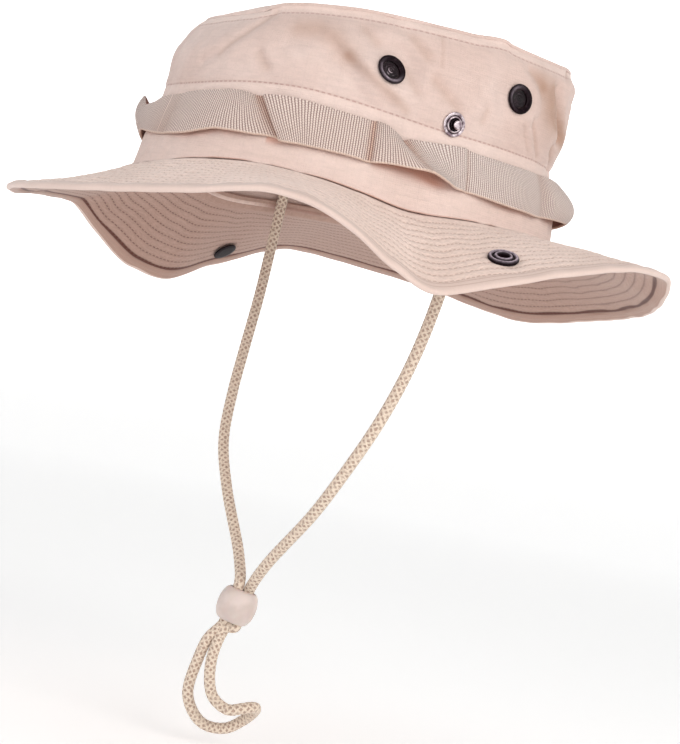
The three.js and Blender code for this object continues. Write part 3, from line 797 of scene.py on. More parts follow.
class Graph:
    """The nodes of one material, added through short calls.

    A value is a number, a colour in display values or another node's output.
    """

    def __init__(self, name: str) -> None:
        """Starts a material with no nodes.

        Args:
            name: The material's name.
        """
        self.material = bpy.data.materials.new(name)
        self.material.use_nodes = True
        self.tree = self.material.node_tree
        self.tree.nodes.clear()

    def node(self, kind: str, feeds: dict[str | int, object], **options: object) -> bpy.types.Node:
        """Adds a shader node, with its options set and values fed to its inputs.

        Args:
            kind: The node's type, without its prefix.
            feeds: Values for the inputs, by their number or name.
            options: The node's options.

        Returns:
            The node.
        """
        node = self.tree.nodes.new("ShaderNode" + kind)
        for option, value in options.items():
            setattr(node, option, value)
        for key, value in feeds.items():
            if isinstance(value, Socket):
                self.tree.links.new(value, node.inputs[key])
            else:
                node.inputs[key].default_value = paint(value) if isinstance(value, tuple) else value
        return node

    def math(self, operation: str, *values: object) -> Socket:
        """A math node's output."""
        return self.node("Math", dict(enumerate(values)), operation=operation).outputs[0]

    def times(self, first: object, second: object, plus: object = None) -> Socket:
        """The product of two values or masks, with a third added where it is given."""
        values = (first, second) if plus is None else (first, second, plus)
        return self.math("MULTIPLY_ADD" if len(values) > 2 else "MULTIPLY", *values)

    def minus(self, first: object, second: object) -> Socket:
        """The first value less the second."""
        return self.math("SUBTRACT", first, second)

    def higher(self, first: object, second: object) -> Socket:
        """The higher of two values."""
        return self.math("MAXIMUM", first, second)

    def ramp(self, value: object, low: float, high: float, out: tuple = (0.0, 1.0)) -> Socket:
        """Maps a value from low..high to the out range with soft ends."""
        feeds = dict(enumerate((value, low, high, *out)))
        return self.node("MapRange", feeds, interpolation_type="SMOOTHSTEP").outputs[0]

    def blend(self, factor: object, first: object, second: object, kind: str = "MIX") -> Socket:
        """A mixed colour, from the first at factor 0 to the second at factor 1."""
        feeds = {0: factor, 6: first, 7: second}
        return self.node("Mix", feeds, data_type="RGBA", blend_type=kind).outputs[2]

    def over(self, base: object, mask: object, share: float, colour: object) -> Socket:
        """Lays a colour over a base where a mask is set, up to a share of it."""
        return self.blend(self.times(mask, share), base, colour)

    def shaded(self, base: object, tone: Socket) -> Socket:
        """A colour times a tone."""
        return self.blend(1.0, base, self.vector(tone, tone, tone), "MULTIPLY")

    def place(self) -> Socket:
        """The place on the object, in metres."""
        return self.node("TexCoord", {}).outputs["Object"]

    def split(self, vector: Socket) -> tuple[Socket, ...]:
        """The three numbers of a vector."""
        return tuple(self.node("SeparateXYZ", {0: vector}).outputs)

    def along_across(self) -> tuple[Socket, ...]:
        """The distances along and across the cloth, in millimetres."""
        return self.split(self.node("UVMap", {}, uv_map="cloth").outputs[0])[:2]

    def mark(self, name: str) -> Socket:
        """A number that the mesh keeps at each point."""
        return self.node("Attribute", {}, attribute_name=name).outputs["Fac"]

    def noise(self, vector: Socket, scale: float, detail: float = 3.0) -> Socket:
        """Smooth noise between 0 and 1."""
        feeds = {"Vector": vector, "Scale": scale, "Detail": detail}
        return self.node("TexNoise", feeds).outputs["Fac"]

    def vector(self, x: object, y: object, z: object = 0.0) -> Socket:
        """A vector made of three numbers."""
        return self.node("CombineXYZ", {0: x, 1: y, 2: z}).outputs[0]

    def wave(self, value: object, pitch: float, offset: object = 0.0) -> Socket:
        """A cosine of the given pitch, between 0 and 1, with its crest at the offset."""
        turn = self.times(self.minus(value, offset), math.tau / pitch)
        return self.times(self.math("COSINE", turn), 0.5, 0.5)

    def line(self, distance: object, half_width: float, soft: float) -> Socket:
        """1 within half a width of a line and 0 beyond its soft edge."""
        gap = self.math("ABSOLUTE", distance)
        return self.ramp(gap, half_width, half_width + soft, (1.0, 0.0))

    def dashes(self, along: object, pitch: float, share: float) -> Socket:
        """1 over the given share of each pitch and 0 between."""
        part = self.math("FRACT", self.math("DIVIDE", along, pitch))
        return self.math("LESS_THAN", part, share)

    def finish(
        self, colour: object, roughness: object, height: object = None, sheen: float = 0.0,
        metallic: float = 0.0, specular: float = 0.5, scatter: float = 0.0, glow: object = 0.0,
    ) -> bpy.types.Material:
        """Joins the nodes to a surface shader.

        Args:
            colour: Base colour.
            roughness: Roughness.
            height: Height of the fine relief in millimetres.
            sheen: Weight of the soft sheen of fibres.
            metallic: 1 for bare metal.
            specular: Specular level.
            scatter: Weight of light scattered inside, over a few millimetres.
            glow: Strength of the white light it gives off.

        Returns:
            The material.
        """
        feeds = {
            "Base Color": colour,
            "Roughness": roughness,
            "Metallic": metallic,
            "Specular IOR Level": specular,
            "Sheen Weight": sheen,
            "Subsurface Weight": scatter,
            "Subsurface Scale": 3 * MM,
            "Emission Strength": glow,
        }
        if height is not None:
            bump = {"Strength": 1.0, "Distance": MM, "Height": height}
            feeds["Normal"] = self.node("Bump", bump).outputs[0]
        shader = self.node("BsdfPrincipled", feeds)
        self.node("OutputMaterial", {"Surface": shader.outputs[0]})
        return self.material


@dataclass(frozen=True)
class ClothFinish:
    """Soft ripstop cloth: a fine weave, a faint grid, sewn lines, and painted light and shade.

    Sewn names the marks that give the distance from each sewn line.
    """

    name: str
    sewn: tuple[str, ...]
    colour: Colour = (214, 193, 185)
    shade: Colour = (205, 181, 172)
    # a lighter tone, painted light below the waist seam and above the top stitching
    pale: Colour = (229, 208, 199)
    thread: Colour = (184, 152, 144)
    # colour of the painted shade in the creases
    fold: Colour = (166, 132, 113)
    # colour of the painted shadow under the band and where the seam gapes
    contact_shadow: Colour = (186, 116, 86)
    weave: float = 0.95
    grid: float = 5.0
    stitch: float = 2.7
    stitched: float = 0.6
    roughness: float = 0.88
    sheen: float = 0.25
    specular: float = 0.25

    def material(self) -> bpy.types.Material:
        """Makes the material.

        The weave is the product of two fine cosines with a little noise. A line is
        drawn every few millimetres both ways. Each sewn line reads its distance from
        the mesh and darkens in dashes.

        Returns:
            The material.
        """
        g = Graph(self.name)
        along, across = g.along_across()
        cloud = g.noise(g.place(), 22.0, 4.0)
        colour = g.blend(g.ramp(cloud, 0.35, 0.68), self.shade, self.colour)
        # Painted light: the wall is lighter below the waist seam and above the top stitching
        colour = g.over(colour, g.mark("pale"), 0.48, self.pale)
        weave = g.times(g.wave(along, self.weave), g.wave(across, self.weave))
        ribs = g.higher(*(g.ramp(g.wave(way, self.grid), 0.93, 1.0) for way in (along, across)))
        fleck = g.noise(g.vector(along, across), 1.1, 2.0)
        slub = g.noise(g.vector(g.times(along, 0.3), across), 0.55, 2.0)
        tone = g.times(ribs, -0.02, g.ramp(slub, 0.3, 0.7, (0.9, 0.96)))
        colour = g.shaded(colour, g.times(fleck, 0.14, tone))
        height = g.times(weave, 0.06, g.times(ribs, 0.03))
        height = g.times(fleck, 0.09, height)
        # Painted shade in the creases
        colour = g.over(colour, g.mark("fold"), 0.85, self.fold)
        # Painted shadow under the band and where the seam gapes
        colour = g.over(colour, g.mark("contact_shadow"), 0.7, self.contact_shadow)
        for mark in self.sewn:
            line = g.line(g.mark(mark), 0.18, 0.28)
            thread = g.times(line, g.dashes(along, self.stitch, self.stitched))
            # A soft band of painted shade along the groove of each sewn line
            colour = g.over(colour, g.line(g.mark(mark), 0.2, 0.6), 0.3, self.thread)
            colour = g.over(colour, thread, 0.8, self.thread)
            height = g.times(line, -0.1, height)
        return g.finish(colour, self.roughness, height, self.sheen, specular=self.specular)


@dataclass(frozen=True)
class Rows:
    """How the brim is sewn: a turned hem and rings of stitches, in from the edge."""

    hem: float = 6.2
    first: float = 6.5
    pitch: float = 4.7
    count: int = 11


@dataclass(frozen=True)
class BrimFinish:
    """Stitched brim cloth with a turned hem, and an underside painted darker as shade."""

    rows: Rows
    name: str = "brim_cloth"
    colour: Colour = (236, 214, 204)
    shade: Colour = (226, 203, 192)
    turned: Colour = (202, 180, 171)
    # painted shade: the underside is coloured darker than the top
    under: Colour = (177, 146, 133)
    thread: Colour = (186, 152, 138)
    under_thread_shade: Colour = (116, 84, 76)
    # colour of the painted shade in the seam's gap under the crown
    fold: Colour = (132, 80, 62)
    # colour of the painted shadow line along the hem's edge underneath
    hem_shadow: Colour = (92, 52, 44)
    hem_lines: tuple[float, float] = (2.0, 4.4)
    stitch: float = 2.5
    stitched: float = 0.62
    roughness: float = 0.88
    sheen: float = 0.25
    specular: float = 0.25

    def material(self) -> bpy.types.Material:
        """Makes the material.

        The pattern's second distance is measured in from the edge, above zero on top
        and below zero underneath. The nearest row is found by folding it at the row
        pitch. Loose cloth between the rows puckers.

        Returns:
            The material.
        """
        g, rows = Graph(self.name), self.rows
        along, signed = g.along_across()
        inward = g.math("ABSOLUTE", signed)
        top = g.math("GREATER_THAN", signed, 0.0)
        cloud = g.noise(g.place(), 24.0, 4.0)
        colour = g.blend(g.ramp(cloud, 0.35, 0.68), self.shade, self.colour)
        # Painted shade: the underside takes a darker copy of the cloth
        colour = g.blend(top, self.under, colour)
        steps = g.math("DIVIDE", g.minus(inward, rows.first), rows.pitch)
        part = g.math("FRACT", g.math("ADD", steps, 0.5))
        off = g.times(g.minus(part, 0.5), rows.pitch)
        count = g.math("FLOOR", g.math("ADD", steps, 0.5))
        within = g.math("LESS_THAN", count, rows.count - 0.5)
        here = g.times(g.math("GREATER_THAN", count, -0.5), within)
        line = g.times(g.line(off, 0.16, 0.28), here)
        thread = g.times(line, g.dashes(g.times(count, 1.3, along), self.stitch, self.stitched))
        # Painted shade in the channel along each stitched row
        dip = g.times(g.line(off, 0.3, 1.2), here)
        fleck = g.noise(g.vector(along, signed), 1.0, 2.0)
        colour = g.shaded(colour, g.times(fleck, 0.16, 0.92))
        # Painted shade: the stitches underneath take a darker copy of the thread
        ink = g.blend(top, self.under_thread_shade, self.thread)
        colour = g.over(colour, dip, 0.14, ink)
        colour = g.over(colour, thread, 0.75, ink)
        # Painted shade in the seam's gap under the crown
        colour = g.over(colour, g.mark("seam"), 0.85, self.fold)
        hem = g.times(g.ramp(inward, rows.hem, rows.hem - 1.0), 0.5)
        colour = g.blend(g.times(hem, top), colour, self.turned)
        lines = g.higher(*(g.line(g.minus(inward, at), 0.12, 0.3) for at in self.hem_lines))
        colour = g.over(colour, lines, 0.6, self.thread)
        # A painted shadow line along the hem's edge underneath
        below = g.line(g.minus(signed, -rows.hem - 0.2), 0.24, 0.5)
        colour = g.over(colour, below, 0.9, self.hem_shadow)
        pull = g.noise(g.vector(g.times(along, 0.45), signed), 0.8, 2.0)
        loose = g.ramp(inward, rows.hem, rows.hem + 2.0)
        pull = g.times(g.minus(pull, 0.5), loose, 0.5)
        colour = g.shaded(colour, g.ramp(pull, 0.3, 0.7, (0.93, 1.04)))
        height = g.times(pull, 0.45, g.times(fleck, 0.1))
        for mask, rise in ((thread, 0.16), (line, -0.12), (lines, -0.08)):
            height = g.times(mask, rise, height)
        return g.finish(colour, self.roughness, height, self.sheen, specular=self.specular)


@dataclass(frozen=True)
class WebbingFinish:
    """Ribbed webbing: ribs across the band, each beaded like cord, alternately set."""

    name: str = "webbing"
    colour: Colour = (227, 209, 200)
    gap: Colour = (140, 114, 108)
    edge: Colour = (218, 193, 177)
    cool: Colour = (223, 209, 202)
    shade: Colour = (232, 210, 198)
    deep: Colour = (104, 64, 55)
    # painted shade: a dark red-brown tint on the band's inner face
    inside: Colour = (158, 100, 82)
    rib: float = 1.14
    bead: float = 1.0
    relief: float = 0.3

    def material(self) -> bpy.types.Material:
        """Makes the material.

        A rib is a crest of a cosine along the band, and its beads are crests across
        it, moved by half a bead on every other rib. The shade multiplies the colour,
        and a plain woven edge runs along the bottom.

        Returns:
            The material.
        """
        g = Graph(self.name)
        along, across = g.along_across()
        wander = g.times(g.noise(g.place(), 140.0, 2.0), 0.4)
        along = g.math("ADD", along, wander)
        number = g.math("FLOOR", g.math("DIVIDE", along, self.rib))
        odd = g.times(g.math("MODULO", number, 2.0), self.bead / 2)
        ribs = g.wave(along, self.rib, self.rib / 2)
        beads = g.times(g.wave(across, self.bead, odd), 0.52, 0.48)
        relief = g.times(g.math("POWER", ribs, 0.6), beads)
        light = g.blend(g.mark("cool"), self.colour, self.cool)
        light = g.blend(g.mark("shade"), light, self.shade, "MULTIPLY")
        dark = g.over(self.gap, g.mark("cool"), 0.08, self.cool)
        dark = g.over(dark, g.mark("shade"), 0.9, self.deep)
        colour = g.blend(g.ramp(relief, 0.05, 0.7), dark, light)
        # Painted shade on the band's inner face
        colour = g.over(colour, g.mark("inside"), 0.85, self.inside)
        selvage = g.ramp(g.times(ribs, 0.25, across), 0.2, 0.42, (0.8, 0.0))
        colour = g.blend(selvage, colour, self.edge)
        return g.finish(colour, 0.8, g.times(relief, self.relief), sheen=0.2, specular=0.3)


@dataclass(frozen=True)
class EnamelFinish:
    """Black enamel on pressed metal, with fine scuffs and painted highlights on its edges."""

    name: str
    colour: Colour = (20, 8, 13)
    scuffed: Colour = (44, 30, 37)
    # the colour of the painted highlights
    worn: Colour = (190, 174, 186)
    roughness: tuple[float, float] = (0.3, 0.45)

    def material(self) -> bpy.types.Material:
        """Makes the material. Where the mesh is marked, a pale painted highlight lies over it.

        Returns:
            The material.
        """
        g = Graph(self.name)
        scuff = g.noise(g.place(), 700.0, 3.0)
        colour = g.blend(g.ramp(scuff, 0.5, 0.8), self.colour, self.scuffed)
        # Painted highlight, broken up by the scuffs
        glint = g.times(g.mark("worn"), g.ramp(scuff, 0.25, 0.6, (0.45, 1.0)))
        colour = g.blend(glint, colour, self.worn)
        rough = g.ramp(scuff, 0.3, 0.8, self.roughness)
        return g.finish(colour, rough, g.times(scuff, 0.03), specular=0.07)


@dataclass(frozen=True)
class ScreenFinish:
    """A fine dark wire screen in each vent."""

    name: str
    wire: Colour = (56, 41, 48)
    # painted shade between the wires, where the dark inside of the crown would show
    hole: Colour = (16, 6, 10)
    # the colour of the painted highlights on the ring crests
    worn: Colour = (176, 158, 166)
    pitch: float = 0.8 * MM

    def material(self) -> bpy.types.Material:
        """Makes the material: two sets of crossing wires from cosines of the place.

        Returns:
            The material.
        """
        g = Graph(self.name)
        _, y, z = g.split(g.place())
        wires = g.higher(g.wave(z, self.pitch), g.wave(y, self.pitch))
        seen = g.times(g.ramp(wires, 0.6, 0.95), g.ramp(g.noise(g.place(), 260.0), 0.4, 0.7))
        colour = g.blend(seen, self.hole, self.wire)
        # Painted highlights on the rings
        glint = g.times(g.mark("worn"), g.ramp(g.noise(g.place(), 430.0), 0.4, 0.6))
        colour = g.blend(glint, colour, self.worn)
        return g.finish(colour, 0.42, g.times(seen, 0.12), specular=0.2)


@dataclass(frozen=True)
class NickelFinish:
    """Bright nickel plate with fine wear, and painted shade in its hollows."""

    name: str
    colour: Colour = (214, 201, 206)
    dull: Colour = (132, 114, 122)
    hollow: Colour = (26, 16, 22)

    def material(self) -> bpy.types.Material:
        """Makes the material, duller where noise is high, with painted shade in the hollows that
        the mesh marks.

        Returns:
            The material.
        """
        g = Graph(self.name)
        wear = g.noise(g.place(), 420.0, 4.0)
        colour = g.blend(g.ramp(wear, 0.44, 0.62), self.colour, self.dull)
        # Painted shade in the marked hollows
        colour = g.blend(g.mark("hollow"), colour, self.hollow)
        rough = g.ramp(wear, 0.3, 0.8, (0.24, 0.42))
        return g.finish(colour, rough, g.times(wear, 0.04), metallic=0.85)


@dataclass(frozen=True)
class BraidFinish:
    """Round braided cord: two sets of strands that wind opposite ways, with flecks."""

    name: str = "braided_cord"
    colour: Colour = (226, 209, 191)
    gap: Colour = (176, 152, 136)
    fleck: Colour = (124, 94, 80)
    lay: float = 2.9
    strands: float = 5.0
    relief: float = 0.3

    def material(self) -> bpy.types.Material:
        """Makes the material.

        Each set of strands is a cosine of the distance along the cord plus or minus
        the turn round it. The higher of the two sets is on top.

        Returns:
            The material.
        """
        g = Graph(self.name)
        along, turn = g.along_across()
        step = g.math("DIVIDE", along, self.lay)
        spin = g.times(turn, self.strands)
        sway = g.noise(g.vector(g.times(along, 0.4), spin), 1.0, 2.0)
        step = g.times(sway, 0.7, step)
        left, right = g.wave(g.math("ADD", step, spin), 1.0), g.wave(g.minus(step, spin), 1.0)
        relief = g.higher(left, right)
        colour = g.blend(g.ramp(relief, 0.35, 0.85), self.gap, self.colour)
        spots = g.noise(g.vector(g.times(along, 0.7), spin), 2.4, 3.0)
        colour = g.over(colour, g.ramp(spots, 0.52, 0.68), 0.6, self.fleck)
        pale = g.noise(g.vector(g.times(along, 0.35), spin, 7.0), 1.5, 2.0)
        colour = g.over(colour, g.ramp(pale, 0.52, 0.7), 0.5, self.colour)
        relief = g.times(relief, self.relief)
        return g.finish(colour, 0.85, relief, sheen=0.25, specular=0.25)


@dataclass(frozen=True)
class BeadFinish:
    """Satin moulded plastic with a little light inside."""

    name: str = "bead"
    colour: Colour = (213, 198, 191)
    shade: Colour = (198, 182, 175)

    def material(self) -> bpy.types.Material:
        """Makes the material, with slow changes of tone and a fine grain.

        Returns:
            The material.
        """
        g = Graph(self.name)
        cloud, grain = g.noise(g.place(), 90.0, 3.0), g.noise(g.place(), 1600.0, 2.0)
        colour = g.blend(g.ramp(cloud, 0.4, 0.7), self.colour, self.shade)
        rough = g.ramp(grain, 0.3, 0.8, (0.42, 0.55))
        return g.finish(colour, rough, g.times(grain, 0.02), scatter=0.15)


@dataclass(frozen=True)
class FloorFinish:
    """The plain pale floor and the low wall round it."""

    name: str = "studio_floor"
    colour: Colour = (250, 250, 250)
    levels: tuple[float, float] = (-0.24, 0.2)
    glow: tuple[float, float] = (0.27, 0.62)

    def material(self) -> bpy.types.Material:
        """Makes the material: matt, with a light of its own that grows up the wall.

        Returns:
            The material.
        """
        g = Graph(self.name)
        glow = g.ramp(g.split(g.place())[2], *self.levels, self.glow)
        return g.finish(self.colour, 1.0, specular=0.05, glow=glow)


# ---- camera and studio ----


@dataclass(frozen=True)
class Viewpoint:
    """The camera: level, looking across the hat from its front right, and rolled.

    Aside, distance and height place it, in millimetres, along its own directions.
    """

    azimuth: float = 58.0
    roll: float = 11.0
    distance: float = 955.0
    aside: float = 12.5
    height: float = -79.0
    lens: float = 98.9
    sensor: float = 36.0

    def build(self) -> None:
        """Makes the camera and gives it to the scene."""
        turn, roll = math.radians(self.azimuth), math.radians(self.roll)
        right = Vector((math.cos(turn), math.sin(turn), 0.0))
        forward = Vector((-math.sin(turn), math.cos(turn), 0.0))
        up = Vector((0.0, 0.0, 1.0))
        x_axis = right * math.cos(roll) + up * math.sin(roll)
        y_axis = up * math.cos(roll) - right * math.sin(roll)
        axes = Matrix((x_axis, y_axis, -forward)).transposed().to_4x4()
        place = (right * self.aside - forward * self.distance + up * self.height) * MM
        data = bpy.data.cameras.new("view")
        data.lens, data.sensor_width, data.clip_end = self.lens, self.sensor, 20.0
        camera = added("view", data)
        camera.matrix_world = Matrix.Translation(place) @ axes
        bpy.context.scene.camera = camera


@dataclass(frozen=True)
class Lamp:
    """One soft area light, turned to the origin: its place and size in metres, its power."""

    name: str
    place: tuple[float, float, float]
    size: float
    power: float
    colour: tuple[float, float, float] = WHITE[:3]

    def build(self) -> None:
        """Makes the light."""
        data = bpy.data.lights.new(self.name, "AREA")
        data.shape, data.size = "DISK", self.size
        data.energy, data.color = self.power, self.colour
        lamp = added(self.name, data)
        lamp.location = self.place
        lamp.rotation_euler = (-lamp.location).to_track_quat("-Z", "Y").to_euler()


@dataclass(frozen=True)
class Studio:
    """Pale floor that turns up into a low wall, three soft lamps and a white sky."""

    floor_z: float = -262.0
    level: float = 1900.0
    bend: float = 900.0
    wall: float = 1200.0
    around: int = 96
    sky: float = 0.42
    lamps: tuple[Lamp, ...] = (
        Lamp("key", (1.35, 0.1, 0.66), 1, 8.7, (1, 0.955, 0.9)),
        Lamp("fill", (0.75, -1.35, 0.25), 1, 2.9, (0.97, 0.97, 1)),
        Lamp("top", (-0.3, -0.4, 1.5), 1.2, 1.7),
    )

    def bowl(self) -> None:
        """Makes the floor, which turns up all round into a low wall.

        The profile runs out level, turns up in a quarter circle and goes on straight.
        It is turned round the hat.
        """
        arc, far = np.linspace(0, math.pi / 2, 24), self.level + self.bend
        reach = np.concatenate([[1.0], self.level + self.bend * np.sin(arc), [far]])
        rise = np.concatenate([[0.0], self.bend * (1 - np.cos(arc)), [self.wall]])
        n, k = len(rise), np.arange(self.around)[:, None]
        turn = math.tau * k / self.around
        line = [reach * np.cos(turn), reach * np.sin(turn), rise + self.floor_z + 0 * turn]
        points = np.stack(line, axis=-1).reshape(-1, 3) * MM
        here = n * k + np.arange(n - 1)
        beyond = np.roll(here, -1, axis=0)
        faces = np.stack([here, here + 1, beyond + 1, beyond], axis=-1).reshape(-1, 4)
        mesh = bpy.data.meshes.new("floor")
        mesh.from_pydata(points.tolist(), [], [*faces.tolist(), (n * k[:, 0]).tolist()])
        mesh.polygons.foreach_set("use_smooth", np.ones(len(faces) + 1, bool))
        mesh.materials.append(FloorFinish().material())
        added("floor", mesh)

    def light(self) -> None:
        """Makes the lamps and the sky, and keeps the picture's colours plain."""
        for lamp in self.lamps:
            lamp.build()
        world = bpy.data.worlds.new("sky")
        world.use_nodes = True
        sky = world.node_tree.nodes["Background"]
        sky.inputs["Color"].default_value = WHITE
        sky.inputs["Strength"].default_value = self.sky
        bpy.context.scene.world = world
        bpy.context.scene.view_settings.view_transform = "Standard"


# ---- chin cord ----


def catmull_rom(points: Array, fine: int) -> Array:
    """A smooth line through points whose spans are paced by the root of their length.

    Each span is a cubic. Its end slopes come from the three chords round it, each
    divided by the square root of its length. The line is carried on straight past its
    two ends to start and finish it.

    Args:
        points: The points, in order.
        fine: Steps in each span.

    Returns:
        The line's points.
    """
    start, end = 2 * points[0] - points[1], 2 * points[-1] - points[-2]
    p = np.concatenate([[start], points, [end]])
    pace = np.sqrt(np.linalg.norm(np.diff(p, axis=0), axis=1))[:, None]
    d0, d1, d2 = pace[:-2], pace[1:-1], pace[2:]
    a, b, c, d = p[:-3], p[1:-2], p[2:-1], p[3:]
    leave = ((b - a) / d0 - (c - a) / (d0 + d1) + (c - b) / d1) * d1
    arrive = ((c - b) / d1 - (d - b) / (d1 + d2) + (d - c) / d2) * d1
    t = np.linspace(0, 1, fine, endpoint=False)[None, :, None]
    b, c, leave, arrive = b[:, None], c[:, None], leave[:, None], arrive[:, None]
    bend = 2 * t**3 - 3 * t**2
    line = (bend + 1) * b + (t**3 - 2 * t**2 + t) * leave - bend * c + (t**3 - t**2) * arrive
    return np.concatenate([line.reshape(-1, 3), points[-1:]])


def distance_along(line: Array) -> Array:
    """Distance along a line at each of its points."""
    return np.append(0.0, np.cumsum(np.linalg.norm(np.diff(line, axis=0), axis=1)))


def even(line: Array, step: float) -> Array:
    """The same line with points an even step apart.

    Args:
        line: The line's points.
        step: The step wanted, which is met as nearly as the length allows.

    Returns:
        The new points.
    """
    run = distance_along(line)
    want = np.linspace(0, run[-1], int(round(run[-1] / step)) + 1)
    return np.stack([np.interp(want, run, line[:, k]) for k in range(3)], axis=-1)


def frames_along(line: Array) -> tuple[Array, Array]:
    """Two directions across a line at each point, which don't wind round it.

    A first guess is square to the run and to a fixed direction. The turn between each
    guess and the next, seen along the run, is added up and taken back off.

    Args:
        line: The line's points.

    Returns:
        The two directions at each point.
    """
    run = unit(np.gradient(line, axis=0))
    guess = unit(np.cross(run, [0.83, 0.41, 0.37]))
    other = np.cross(run, guess)
    carried = guess[:-1] - np.sum(guess[:-1] * run[1:], axis=1)[:, None] * run[1:]
    lift = np.sum(carried * other[1:], axis=1)
    level = np.sum(carried * guess[1:], axis=1)
    turn = np.concatenate([[0.0], np.cumsum(np.arctan2(lift, level))])[:, None]
    first = np.cos(turn) * guess + np.sin(turn) * other
    return first, np.cross(run, first)


@dataclass(frozen=True)
class ChinCord:
    """One braided cord from the left side of the crown, through the bead and back up.

    Its own loop below the bead hangs free. The points of its left side, from the crown
    to the bead, and of its loop repeat the frame's.
    """

    diameter: float = 5.2
    spacing: float = 5.5
    relief: float = 0.11
    around: int = 30
    bead_centre: tuple[float, float, float] = (-0.5, -15.9, -194.3)
    bead_axis: tuple[float, float, float] = (0.101, 0.162, 0.982)
    strand_side: tuple[float, float, float] = (0.52, 0.832, -0.19)
    heights: tuple[float, ...] = (10.0, 4.0, -4.0, -10.0)
    left: tuple[tuple[float, float, float], ...] = (
        (76.9, 11, 15), (78.6, 10.8, -4), (78.8, 9.7, -27), (76.7, 7.2, -50),
        (73.3, 3, -74), (67, -2.6, -98.5), (56.6, -8.2, -122.5), (41.2, -10.3, -143.5),
        (13, -12.7, -172.5),
    )
    loop: tuple[tuple[float, float, float], ...] = (
        (-1.6, -18.2, -204.6), (-1.9, -22.9, -220.4), (2.9, -21.8, -236.2),
        (9.6, -16.2, -241), (12.9, -11, -239.4), (12.6, -5.4, -238.4), (8.4, -0.6, -239.9),
        (-1.7, 1, -246.9), (-6.4, -6, -253), (-9.1, -17.6, -251.8), (-10.8, -26.6, -240),
        (-8.2, -26.3, -221.4), (-6.2, -24.4, -211.7),
    )
    finish: BraidFinish = BraidFinish()

    def axes(self) -> tuple[Array, Array]:
        """The bead's axis and the way from one strand to the other."""
        return unit(np.array(self.bead_axis)), unit(np.array(self.strand_side))

    def route(self) -> Array:
        """The cord's middle line, with a point each millimetre.

        The right side mirrors the left. Inside the bead the two strands run straight,
        half the spacing to each side of its axis.

        Returns:
            The line's points.
        """
        axis, side = self.axes()
        heights = np.array(self.heights)[:, None]
        middle = np.array(self.bead_centre) + heights * axis
        down = middle + side * self.spacing / 2
        up = (middle - side * self.spacing / 2)[::-1]
        left = np.array(self.left)
        right = (left * [-1.0, 1.0, 1.0])[::-1]
        points = np.concatenate([left, down, np.array(self.loop), up, right])
        return even(catmull_rom(points, 40), 1.0)

    def build(self) -> bpy.types.Object:
        """Makes the cord as a tube along its route.

        A point is line + radius * (first * cos + second * sin), where the radius rises
        with the higher of the braid's two sets of strands. The two ends are closed.

        Returns:
            The cord.
        """
        path = self.route()
        line = even(path, 0.6)
        first, second = (way[:, None] for way in frames_along(line))
        turn = np.linspace(0, math.tau, self.around, endpoint=False)
        along = distance_along(line)
        lay = math.tau * along[:, None] / self.finish.lay
        spin = self.finish.strands * turn[None]
        weave = np.maximum(np.cos(lay + spin), np.cos(lay - spin)) - 0.4
        radius = (self.diameter / 2 + self.relief * weave)[..., None]
        across = np.cos(turn)[:, None] * first + np.sin(turn)[:, None] * second
        tube = (line[:, None] + radius * across).transpose(1, 0, 2)
        share = np.linspace(0, 1, self.around + 1)[:, None]
        reach = np.concatenate([along, along[-1:]])[None]
        pattern = np.stack(np.broadcast_arrays(reach, share), axis=-1)
        skin = Skin(tube, ends=(line[0], line[-1]), pattern=pattern)
        obj = skin.build("chin_cord_braid", "braided_cord", "chin_cord", self.finish)
        return obj


@dataclass(frozen=True)
class CordSlider:
    """The barrel bead that both strands pass through, in one slot."""

    cord: ChinCord
    diameter: float = 18.6
    length: float = 15.6
    flat_share: float = 0.62
    clearance: float = 0.5
    rounding: float = 0.7

    def slot_radius(self, turn: Array) -> Array:
        """How far the slot's wall is from the axis in each direction.

        The slot is a circle swept between the two strands: along the way between them
        it reaches half the spacing plus its radius, and across them its radius.

        Args:
            turn: Directions round the axis, from the way between the strands.

        Returns:
            The radius in each direction.
        """
        radius, half = self.cord.diameter / 2 + self.clearance, self.cord.spacing / 2
        cos, sin = np.abs(np.cos(turn)), np.abs(np.sin(turn))
        round_end = half * cos + np.sqrt(np.maximum(radius**2 - (half * sin) ** 2, 0.0))
        straight = radius / np.maximum(sin, 1e-6)
        return np.where(radius * cos > half * sin, round_end, straight)

    def build(self) -> bpy.types.Object:
        """Makes the bead as a closed ring of sections.

        The barrel's radius is flat + (full - flat) * cos and its height half the
        length * sin. Each flat end turns in through a small quarter circle to the
        slot's wall.

        Returns:
            The bead.
        """
        axis, side = self.cord.axes()
        other = np.cross(axis, side)
        half, full = self.length / 2, self.diameter / 2
        flat = full * self.flat_share
        turn = np.linspace(0, math.tau, 96, endpoint=False)[:, None]
        rise = np.linspace(-math.pi / 2, math.pi / 2, 40)
        barrel = flat + (full - flat) * np.cos(rise) + 0 * turn
        slot = self.slot_radius(turn)
        bend = np.linspace(0, math.pi / 2, 6)
        lip = slot + self.rounding * (1 - np.sin(bend))
        lip_z = half - self.rounding * (1 - np.cos(bend))
        wall_z = np.linspace(half - self.rounding, self.rounding - half, 14)[1:-1]
        radius = np.concatenate([barrel, lip, slot + 0 * wall_z, lip[:, ::-1]], axis=1)
        height = np.concatenate([half * np.sin(rise), lip_z, wall_z, -lip_z[::-1]])
        across = np.cos(turn) * side + np.sin(turn) * other
        middle = np.array(self.cord.bead_centre)
        grid = middle + radius[..., None] * across[:, None] + height[:, None] * axis
        return Skin(grid).build("cord_slider_bead", "bead", "cord_slider", BeadFinish())


# ---- crown, brim and band ----


def stations(count: int) -> Array:
    """Angles of that many stations round the hat, in degrees."""
    return 360.0 * np.arange(count) / count


def girth(points: Array) -> Array:
    """Distance round a closed line at each point and at the end of the round."""
    return distance_along(np.append(points, points[:1], axis=0))


def spread(values: Array, length: int, rest: float) -> Array:
    """Values on the first points of each section, with one value for the rest of it."""
    return np.pad(values, ((0, 0), (0, length - values.shape[1])), constant_values=rest)


